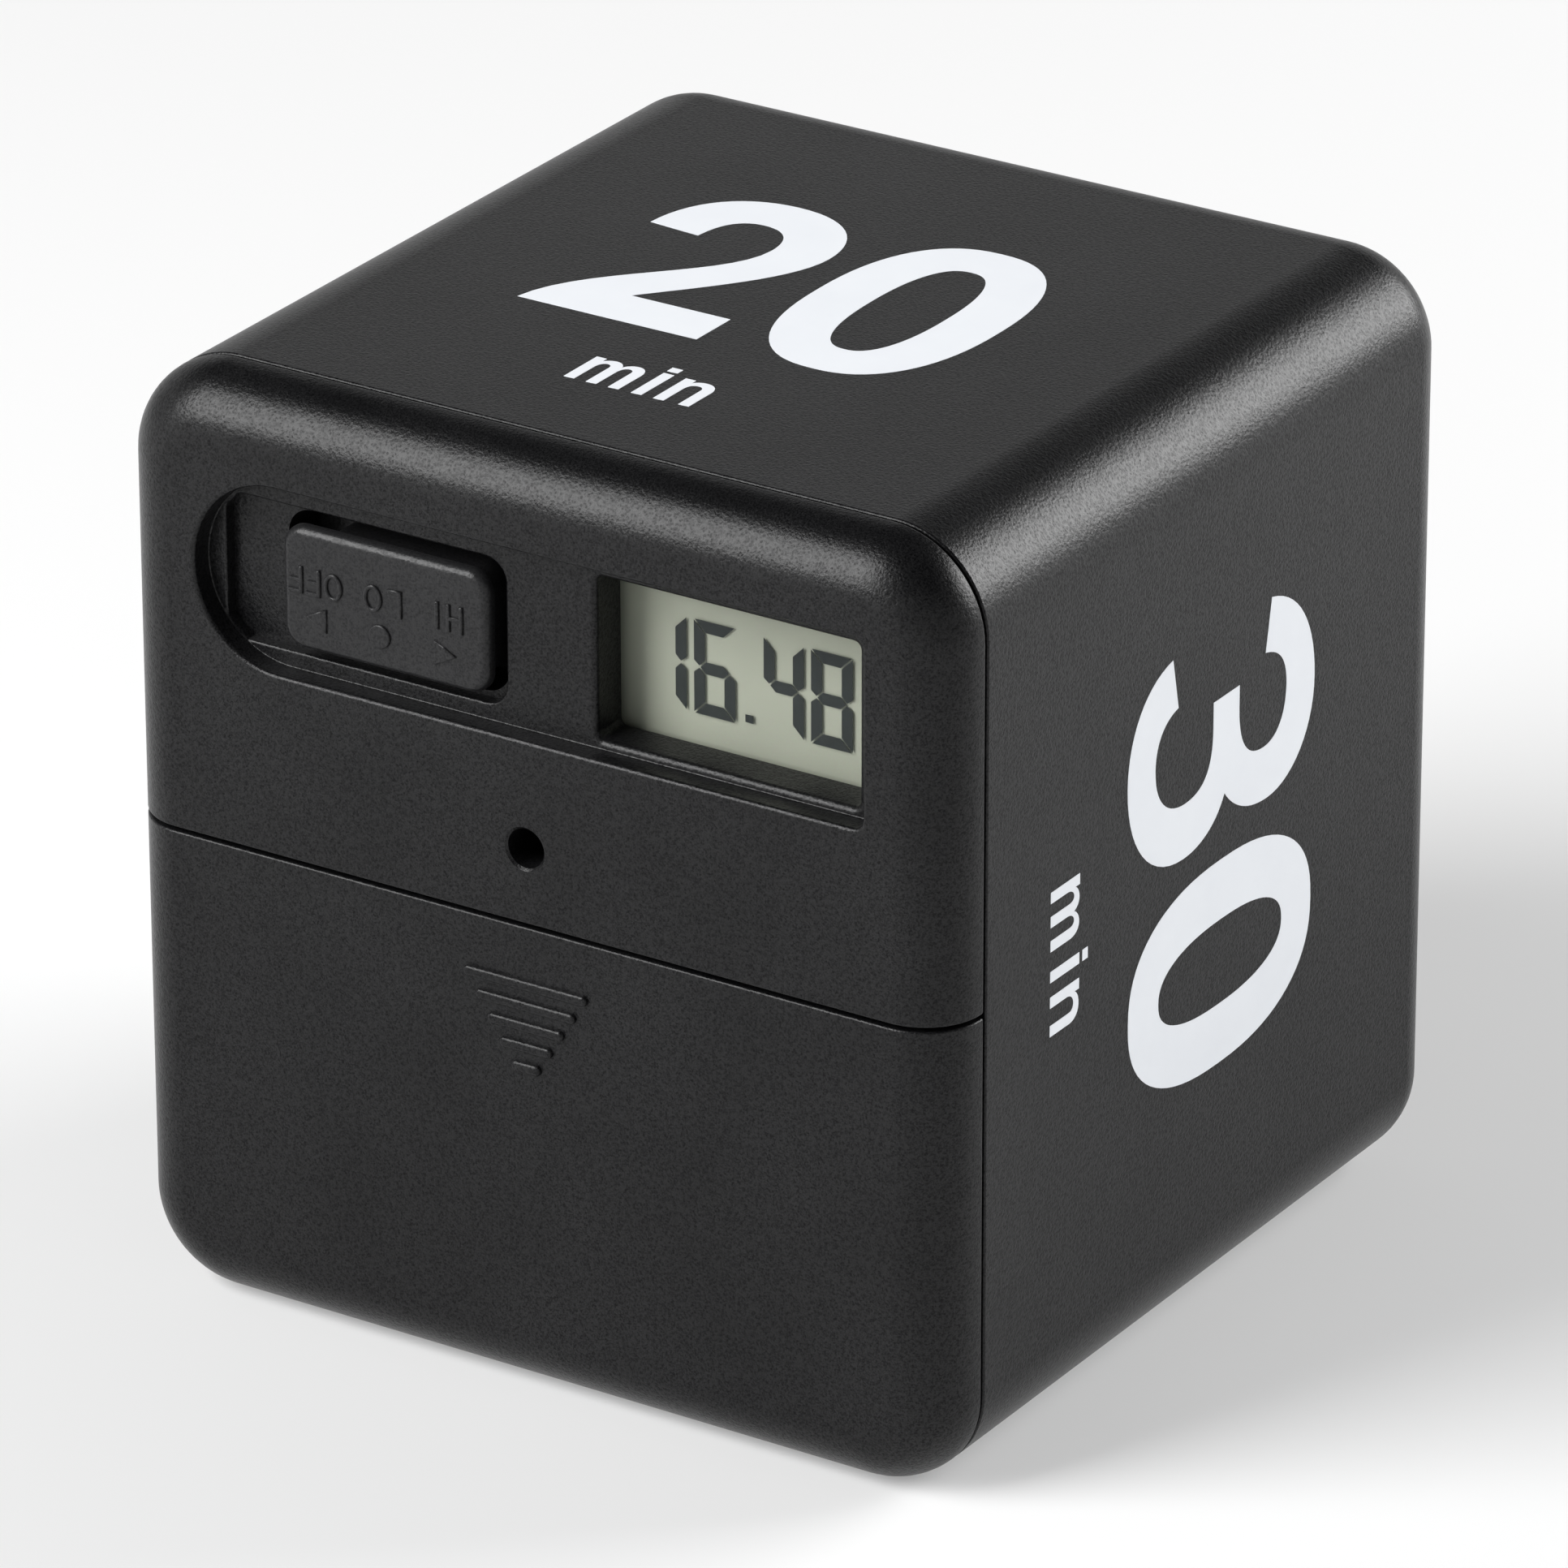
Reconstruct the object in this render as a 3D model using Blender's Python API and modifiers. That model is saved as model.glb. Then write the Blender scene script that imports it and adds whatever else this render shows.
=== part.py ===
"""Cube-shaped visual timer with a display, a sliding volume switch and a battery door.

Units are metres. +Z is up, the display faces -Y, and the origin is under the middle of the
object, on the surface that it stands on. A depth is a distance behind the front face.
"""
import math

import bmesh
import bpy
from mathutils import Vector

# Body
BODY_WIDTH = 0.0600
BODY_DEPTH = 0.0600
BODY_HEIGHT = 0.0627
EDGE_ROUND = 0.0065
FRONT_ROUND = 0.0040
BACK_ROUND = 0.0044
WALL = 0.0020
EDGE_STEPS = 10
RIM_STEPS = 7
ROUND_PLAY = 0.000001

# Clearances
FIT = 0.0003
THREAD_FIT = 0.00025
SEAM_GAP = 0.00025

# Seams of the front
SEAM_DEPTH = 0.00435
SPLIT_HEIGHT = 0.0321
PANEL_SILL = 0.0015

# Recess band that holds the switch and the window
RECESS_DEPTH = 0.00155
RECESS_WIDTH = 0.0481
RECESS_HEIGHT = 0.0123
RECESS_DROP = 0.0122
RECESS_CORNER = 0.00075

# Switch pocket, its well and the cap
CONTROL_DROP = 0.00026
POCKET_LEFT = -0.0227
POCKET_RIGHT = -0.0022
POCKET_HEIGHT = 0.0096
POCKET_DEPTH = 0.0044
POCKET_CORNER = 0.0015
POCKET_FLOOR = 0.0010
POCKET_WALL = 0.0012
CAP_RIGHT = -0.0028
CAP_WIDTH = 0.0150
CAP_HEIGHT = 0.0081
CAP_CORNER = 0.0015
CAP_EDGE = 0.00045
CAP_FACE_DEPTH = 0.0006
CAP_WALL = 0.0012
CAP_TRAVEL = 0.0024
CAP_FLANGE = 0.0011
CAP_FLANGE_THICK = 0.0008

# Slide switch on the board
LEVER_WIDTH = 0.0016
LEVER_HEIGHT = 0.0014
LEVER_REACH = 0.0017
LEVER_FOOT = 0.0008
SWITCH_WIDTH = 0.0090
SWITCH_HEIGHT = 0.0040
SWITCH_WALL = 0.00055

# Display
WINDOW_LEFT = 0.00424
WINDOW_WIDTH = 0.01865
WINDOW_HEIGHT = 0.01076
WINDOW_DRAFT = 0.00018
WINDOW_WALL = 0.0012
GLASS_DEPTH = 0.0043
GLASS_THICK = 0.0017
GLASS_MARGIN = 0.0015
GLASS_LEDGE = 0.0019
REFLECTOR_THICK = 0.00025
FILM_GAP = 0.0001
HOLDER_WALL = 0.0009
HOLDER_CORNER = 0.0012
ZEBRA_HEIGHT = 0.0012

# Sound hole and buzzer
SOUND_HOLE_RISE = 0.0051
SOUND_HOLE_RADIUS = 0.0013
SOUND_HOLE_CHAMFER = 0.00035
SOUND_RING_WALL = 0.0010
BUZZER_RADIUS = 0.0040
BUZZER_HEIGHT = 0.0042
BUZZER_PORT_DEPTH = 0.0014

# Circuit board
BOARD_DEPTH = 0.0095
BOARD_THICK = 0.0016
BOARD_SIDE_PLAY = 0.0017
BOARD_TOP_PLAY = 0.0005
BOARD_LIFT = 0.00075
BOARD_CORNER = 0.0035
BOARD_BOSS_RADIUS = 0.0020
SIDE_BOSS_INSET = 0.0028
SIDE_BOSS_RISE = 0.0064
TOP_BOSS_X = -0.0012
TOP_BOSS_DROP = 0.0044
BLOB_RADIUS = 0.0050
BLOB_RISE = 0.0017
BLOB_STEPS = 6
BLOB_X = -0.0080
CRYSTAL_RADIUS = 0.0010
CRYSTAL_LENGTH = 0.0060
CRYSTAL_X = 0.0060
CRYSTAL_RISE = 0.0070
TILT_RADIUS = 0.0026
TILT_LENGTH = 0.0065
LEVEL_TILT_X = 0.0120
LEVEL_TILT_DROP = 0.0060
UPRIGHT_TILT_X = 0.0200
UPRIGHT_TILT_RISE = 0.0050
CHIP_WIDTH = 0.0020
CHIP_THICK = 0.0005
CHIP_HEIGHT = 0.00125
CHIP_COUNT = 4
CHIP_PITCH = 0.0032
CHIP_ROW_X = -0.0120
CHIP_ROW_RISE = 0.0090

# Screws
SCREW_RADIUS = 0.0009
SCREW_LENGTH = 0.0060
HEAD_RADIUS = 0.0018
HEAD_FACE_RADIUS = 0.00144
HEAD_HEIGHT = 0.0010

# Battery bay: two cells of the AAA size
CELL_RADIUS = 0.00525
CELL_LENGTH = 0.0445
CELL_NUB_RADIUS = 0.0019
CELL_NUB_HEIGHT = 0.0012
CELL_SHOULDER = 0.00063
CELL_PITCH = 0.0116
CELL_PLAY = 0.00035
SPRING_WIRE = 0.00035
SPRING_RADIUS = 0.0029
SPRING_END_RADIUS = 0.002175
SPRING_LENGTH = 0.0047
SPRING_CURLS = 3
POINTS_PER_CURL = 10
CONTACT_THICK = 0.0004
CONTACT_HALF = 0.0036
CONTACT_DIMPLE = 0.0006
TAB_HALF = 0.0010
TAB_REACH = 0.0044

# Battery tray and the posts that it is screwed to
TRAY_PLATE = 0.0020
TRAY_WALL = 0.0012
POST_RADIUS = 0.0021
TRAY_SCREW_INSET = 0.00455
LUG_SCREW_X = 0.0120
LUG_WIDTH = 0.0080
POST_WEB = 0.0012
POST_WEB_LENGTH = 0.0230
TONGUE_X = 0.0160
TONGUE_WIDTH = 0.0040
TONGUE_THICK = 0.0009
TONGUE_REACH = 0.0011

# Snap lip of the front panel
LIP_THICK = 0.0010
LIP_REACH = 0.0022
SNAP_X = 0.0130
SNAP_WIDTH = 0.0060
SNAP_RISE = 0.0007
SNAP_THICK = 0.0008

# Battery door, its rails and its grip bars
RAIL_INSET = 0.0044
RAIL_WEB = 0.0008
RAIL_FLANGE = 0.0008
RAIL_FLANGE_THICK = 0.0006
RAIL_FRONT_DEPTH = 0.00275
RAIL_BOTTOM = 0.0070
RAIL_DROP = 0.0031
DOOR_LIP_SHORTER = 0.0010
DOOR_RIB_THICK = 0.0015
DOOR_RIB_PLAY = 0.0011
LATCH_RISE = 0.0003
LATCH_HALF = 0.0050
LATCH_HEIGHT = 0.0006
LATCH_STEP = 0.00045
GRIP_COUNT = 5
GRIP_RISE = 0.0003
GRIP_WIDTH = 0.00895
GRIP_SHRINK = 0.00172
GRIP_HEIGHT = 0.0007
GRIP_CORNER = 0.000315
GRIP_PITCH = 0.00139
GRIP_DROP = 0.00395

# Battery leads
LEAD_RADIUS = 0.0006

# Places that follow from the sizes above
FRONT_Y = -(BODY_DEPTH + GRIP_RISE) / 2 + GRIP_RISE
HALF_WIDTH = BODY_WIDTH / 2
RECESS_CENTRE = BODY_HEIGHT - RECESS_DROP
CONTROL_CENTRE = RECESS_CENTRE - CONTROL_DROP
SOUND_HOLE_HEIGHT = SPLIT_HEIGHT + SOUND_HOLE_RISE
FRONT_BACK_DEPTH = SEAM_DEPTH - SEAM_GAP / 2
SHELL_FRONT_DEPTH = SEAM_DEPTH + SEAM_GAP / 2
SKIRT_DEPTH = GLASS_DEPTH - SEAM_GAP
GLASS_BACK_DEPTH = GLASS_DEPTH + GLASS_THICK
HOLDER_FLOOR_DEPTH = GLASS_BACK_DEPTH + FIT
PLATE_DEPTH = SHELL_FRONT_DEPTH + FIT / 2
PLATE_BACK_DEPTH = PLATE_DEPTH + TRAY_PLATE
POST_DEPTH = PLATE_BACK_DEPTH + FIT
CAP_LEFT = CAP_RIGHT - CAP_WIDTH
CAP_MIDDLE = (CAP_LEFT + CAP_RIGHT) / 2
FLANGE_DEPTH = POCKET_DEPTH + POCKET_FLOOR + FIT
FLANGE_BACK_DEPTH = FLANGE_DEPTH + CAP_FLANGE_THICK
SWITCH_DEPTH = FLANGE_BACK_DEPTH + FIT
SWITCH_MIDDLE = CAP_MIDDLE - CAP_TRAVEL / 2
TROUGH_RADIUS = CELL_RADIUS + CELL_PLAY
TRAY_BOTTOM = WALL + FIT
CELL_LOW = TRAY_BOTTOM + TRAY_WALL + FIT / 2 + TROUGH_RADIUS
CELL_HIGH = CELL_LOW + CELL_PITCH
CELL_DEPTH = PLATE_DEPTH + CELL_PLAY / 2 + CELL_RADIUS
TRAY_BACK_DEPTH = CELL_DEPTH + TROUGH_RADIUS + TRAY_WALL
BAY_TOP = CELL_HIGH + TROUGH_RADIUS + TRAY_WALL
BAY_HALF = (CELL_LENGTH + SPRING_LENGTH + 2 * CONTACT_THICK + CONTACT_DIMPLE + 5 * FIT) / 2
POST_HEIGHT = BAY_TOP + FIT + POST_RADIUS
TRAY_SCREW_X = BAY_HALF - TRAY_SCREW_INSET
POST_PLACES = (-TRAY_SCREW_X, -LUG_SCREW_X, LUG_SCREW_X, TRAY_SCREW_X)
BOARD_HALF_WIDTH = HALF_WIDTH - WALL - BOARD_SIDE_PLAY
BOARD_BOTTOM = POST_HEIGHT + POST_RADIUS + BOARD_LIFT
BOARD_TOP = BODY_HEIGHT - WALL - BOARD_TOP_PLAY
SIDE_BOSS_X = BOARD_HALF_WIDTH - SIDE_BOSS_INSET
BOARD_BOSSES = ((-SIDE_BOSS_X, SPLIT_HEIGHT + SIDE_BOSS_RISE),
                (SIDE_BOSS_X, SPLIT_HEIGHT + SIDE_BOSS_RISE),
                (TOP_BOSS_X, BODY_HEIGHT - TOP_BOSS_DROP))
RAIL_ROOT = HALF_WIDTH - RAIL_INSET
RAIL_TOP = SPLIT_HEIGHT - RAIL_DROP
TRAY_TOP = SPLIT_HEIGHT - SEAM_GAP
PILOT_RADIUS = SCREW_RADIUS + THREAD_FIT
SCREW_HOLE_RADIUS = SCREW_RADIUS + FIT
HEAD_HOLE_RADIUS = HEAD_RADIUS + FIT
LIP_OUTSIDE = WALL + FIT
DOOR_TOP = SPLIT_HEIGHT - SEAM_GAP / 2
PANEL_BOTTOM = SPLIT_HEIGHT + SEAM_GAP / 2

BLACK_ABS = ("black_abs", (0.018, 0.018, 0.019), 0.45, 0.0)
BLACK_INNER = ("black_inner_abs", (0.025, 0.025, 0.026), 0.55, 0.0)
GLASS = ("display_glass", (0.55, 0.60, 0.52), 0.08, 0.0)
REFLECTOR = ("display_reflector", (0.42, 0.45, 0.37), 0.40, 0.0)
RUBBER = ("zebra_rubber", (0.60, 0.45, 0.42), 0.70, 0.0)
BOARD_GREEN = ("board_green", (0.02, 0.16, 0.05), 0.40, 0.0)
EPOXY = ("black_epoxy", (0.012, 0.012, 0.012), 0.30, 0.0)
STEEL = ("nickel_steel", (0.62, 0.61, 0.58), 0.30, 1.0)
CERAMIC = ("chip_ceramic", (0.09, 0.08, 0.07), 0.50, 0.0)
CELL_SLEEVE = ("cell_sleeve", (0.05, 0.20, 0.45), 0.35, 0.0)
RED_VINYL = ("red_vinyl", (0.55, 0.02, 0.02), 0.45, 0.0)
BLACK_VINYL = ("black_vinyl", (0.02, 0.02, 0.02), 0.45, 0.0)


def clear_scene():
    for obj in list(bpy.data.objects):
        bpy.data.objects.remove(obj, do_unlink=True)


def new_collection(name):
    collection = bpy.data.collections.new(name)
    bpy.context.scene.collection.children.link(collection)
    return collection


def front(depth):
    """Y of a plane that lies this far behind the front face."""
    return FRONT_Y + depth


def paint(obj, finish):
    name, colour, roughness, metallic = finish
    material = bpy.data.materials.get(name)
    if material is None:
        material = bpy.data.materials.new(name)
        material.use_nodes = True
        shader = material.node_tree.nodes["Principled BSDF"]
        shader.inputs["Base Color"].default_value = (*colour, 1.0)
        shader.inputs["Roughness"].default_value = roughness
        shader.inputs["Metallic"].default_value = metallic
    obj.data.materials.append(material)
    return obj


def add_object(name, bm, centre, collection):
    """Object from a bmesh whose coordinates are relative to centre."""
    bmesh.ops.recalc_face_normals(bm, faces=bm.faces)
    mesh = bpy.data.meshes.new(name)
    bm.to_mesh(mesh)
    bm.free()
    obj = bpy.data.objects.new(name, mesh)
    obj.location = centre
    collection.objects.link(obj)
    if collection is CUTTERS:
        obj.hide_render = True
        obj.display_type = "WIRE"
    return obj


def round_rim(bm, y, radius, steps):
    """Rounds the loop of edges in the plane at y."""
    rim = [edge for edge in bm.edges if all(abs(vert.co.y - y) < 1e-7 for vert in edge.verts)]
    bmesh.ops.bevel(bm, geom=rim, offset=radius, segments=steps, profile=0.5, affect="EDGES")


def round_long_edges(bm, depth, side, radius, steps):
    """Rounds the edges along Y on the right (+1) or the left (-1)."""
    edges = [edge for edge in bm.edges
             if abs(edge.verts[0].co.y - edge.verts[1].co.y) > depth / 2
             and edge.verts[0].co.x * side > 0.0]
    bmesh.ops.bevel(bm, geom=edges, offset=radius, segments=steps, profile=0.5, affect="EDGES")


def block(name, low, high, collection, corner=0.0, front_round=0.0, back_round=0.0,
          corner_steps=4, rim_steps=2):
    """Box between two corners, with rounded edges along Y and rounded front and back rims."""
    size = Vector(high) - Vector(low)
    bm = bmesh.new()
    bmesh.ops.create_cube(bm, size=1.0)
    bmesh.ops.scale(bm, vec=size, verts=bm.verts)
    if corner > 0.0:
        for side in (-1, 1):
            round_long_edges(bm, size.y, side, corner, corner_steps)
    if front_round > 0.0:
        round_rim(bm, -size.y / 2, front_round, rim_steps)
    if back_round > 0.0:
        round_rim(bm, size.y / 2, back_round, rim_steps)
    return add_object(name, bm, (Vector(low) + Vector(high)) / 2, collection)


def slab(name, x_low, x_high, depth_low, depth_high, z_low, z_high, collection, corner=0.0):
    """Plain box given by its X range, its depth range and its height range."""
    return block(name, (x_low, front(depth_low), z_low), (x_high, front(depth_high), z_high),
                 collection, corner=corner)


def body_block(name, inset, depth_low, depth_high, collection, front_round=0.0, back_round=0.0):
    """Block with the body's rounded outline, drawn in by inset all round."""
    return block(name, (-HALF_WIDTH + inset, front(depth_low), inset),
                 (HALF_WIDTH - inset, front(depth_high), BODY_HEIGHT - inset), collection,
                 corner=EDGE_ROUND - inset, front_round=front_round, back_round=back_round,
                 corner_steps=EDGE_STEPS, rim_steps=RIM_STEPS)


def rod(name, centre, axis, radius, length, collection, sides=16, end_radius=None):
    """Cylinder or cone about centre, its axis along X, Y or Z."""
    bm = bmesh.new()
    bmesh.ops.create_cone(bm, cap_ends=True, segments=sides, radius1=radius,
                          radius2=radius if end_radius is None else end_radius, depth=length)
    obj = add_object(name, bm, centre, collection)
    if axis == "Y":
        obj.rotation_euler.x = -math.pi / 2
    if axis == "X":
        obj.rotation_euler.y = math.pi / 2
    return obj


def deep_rod(name, x, z, radius, depth_low, depth_high, collection, sides=16, end_radius=None):
    """Cylinder along Y between two depths."""
    centre = (x, front((depth_low + depth_high) / 2), z)
    return rod(name, centre, "Y", radius, depth_high - depth_low, collection, sides, end_radius)


def combine(target, tool, operation):
    modifier = target.modifiers.new(tool.name, "BOOLEAN")
    modifier.operation = operation
    modifier.solver = "EXACT"
    modifier.object = tool


def cut(target, *tools):
    for tool in tools:
        combine(target, tool, "DIFFERENCE")


def join(target, *tools):
    for tool in tools:
        combine(target, tool, "UNION")


def keep_inside(target, tool):
    combine(target, tool, "INTERSECT")


def turned(name, profile, centre, collection, sides=24):
    """Solid turned about its own Z axis from (radius, height) points, listed top to bottom."""
    mesh = bpy.data.meshes.new(name)
    points = [(radius, 0.0, height) for radius, height in profile]
    mesh.from_pydata(points, [(i, i + 1) for i in range(len(points) - 1)], [])
    obj = bpy.data.objects.new(name, mesh)
    obj.location = centre
    collection.objects.link(obj)
    screw = obj.modifiers.new("turn", "SCREW")
    screw.steps = sides
    screw.render_steps = sides
    screw.use_merge_vertices = True
    screw.merge_threshold = 0.00001
    screw.use_smooth_shade = True
    return obj


def wire(name, points, radius, collection, resolution=1):
    """Round wire through a list of points, with filled ends."""
    curve = bpy.data.curves.new(name, "CURVE")
    curve.dimensions = "3D"
    curve.bevel_depth = radius
    curve.bevel_resolution = resolution
    curve.use_fill_caps = True
    spline = curve.splines.new("POLY")
    spline.points.add(len(points) - 1)
    for point, place in zip(spline.points, points):
        point.co = (*place, 1.0)
    obj = bpy.data.objects.new(name, curve)
    collection.objects.link(obj)
    return obj


def cap_slice(name, inset, depth_low, depth_high, z_low, z_high, front_round, collection):
    """The part of the rounded body between two depths and two heights."""
    piece = body_block(name, inset, depth_low, depth_high, collection, front_round=front_round)
    band = slab(name + "_band", -BODY_WIDTH, BODY_WIDTH, -BODY_WIDTH, BODY_DEPTH,
                z_low, z_high, CUTTERS)
    keep_inside(piece, band)
    return piece


# Rear shell


def rear_shell():
    """Five-sided moulded housing with four screw posts, snap grooves and tongue slots."""
    shell = body_block("rear_shell", 0.0, SHELL_FRONT_DEPTH, BODY_DEPTH, PARTS,
                       back_round=BACK_ROUND)
    cut(shell, body_block("shell_hollow", WALL, SHELL_FRONT_DEPTH - WALL, BODY_DEPTH - WALL,
                          CUTTERS, back_round=BACK_ROUND - WALL))
    root = BODY_DEPTH - WALL / 2
    join(shell, slab("post_web", -TRAY_SCREW_X, TRAY_SCREW_X, root - POST_WEB_LENGTH, root,
                     POST_HEIGHT - POST_WEB / 2, POST_HEIGHT + POST_WEB / 2, CUTTERS))
    for x in POST_PLACES:
        join(shell, deep_rod("post", x, POST_HEIGHT, POST_RADIUS, POST_DEPTH, root, CUTTERS))
    for x in POST_PLACES:
        cut(shell, deep_rod("post_pilot", x, POST_HEIGHT, PILOT_RADIUS, POST_DEPTH - FIT,
                            POST_DEPTH + SCREW_LENGTH + FIT, CUTTERS))
    groove_depth = PLATE_DEPTH + LIP_REACH - SNAP_THICK - 2 * FIT
    for side in (-1, 1):
        cut(shell, slab("snap_groove", side * SNAP_X - SNAP_WIDTH / 2 - FIT,
                        side * SNAP_X + SNAP_WIDTH / 2 + FIT, groove_depth,
                        groove_depth + SNAP_THICK + 2 * FIT, BODY_HEIGHT - WALL - WALL / 2,
                        BODY_HEIGHT - LIP_OUTSIDE + SNAP_RISE + FIT, CUTTERS))
        cut(shell, slab("tongue_slot", side * TONGUE_X - TONGUE_WIDTH / 2 - FIT,
                        side * TONGUE_X + TONGUE_WIDTH / 2 + FIT, PLATE_DEPTH + FIT,
                        PLATE_DEPTH + TONGUE_THICK + 3 * FIT, TRAY_BOTTOM - TONGUE_REACH - FIT,
                        WALL + WALL / 2, CUTTERS))
    return paint(shell, BLACK_ABS)


# Front panel


def recess_outline(name, depth_high):
    """Prism of the recess band: a half-round left end and small corners on the right."""
    size = Vector((RECESS_WIDTH, depth_high + WALL, RECESS_HEIGHT))
    bm = bmesh.new()
    bmesh.ops.create_cube(bm, size=1.0)
    bmesh.ops.scale(bm, vec=size, verts=bm.verts)
    round_long_edges(bm, size.y, -1, RECESS_HEIGHT / 2 - ROUND_PLAY, 16)
    round_long_edges(bm, size.y, 1, RECESS_CORNER, 4)
    return add_object(name, bm, (0.0, front((depth_high - WALL) / 2), RECESS_CENTRE), CUTTERS)


def switch_pocket():
    """Pocket of the switch, clipped by the round end of the recess."""
    half = POCKET_HEIGHT / 2
    pocket = slab("switch_pocket", POCKET_LEFT, POCKET_RIGHT, 0.0, POCKET_DEPTH,
                  CONTROL_CENTRE - half, CONTROL_CENTRE + half, CUTTERS, corner=POCKET_CORNER)
    keep_inside(pocket, recess_outline("pocket_outline", POCKET_DEPTH + WALL))
    return pocket


def window_hole():
    """Four-sided window hole that narrows towards the glass, so its walls meet in mitres."""
    half = WINDOW_HEIGHT / 2
    hole = slab("window_hole", WINDOW_LEFT, WINDOW_LEFT + WINDOW_WIDTH, RECESS_DEPTH - FIT,
                SKIRT_DEPTH + FIT, CONTROL_CENTRE - half, CONTROL_CENTRE + half, CUTTERS)
    for vert in hole.data.vertices:
        if vert.co.y > 0.0:
            vert.co.x -= math.copysign(WINDOW_DRAFT, vert.co.x)
            vert.co.z -= math.copysign(WINDOW_DRAFT, vert.co.z)
    return hole


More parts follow.
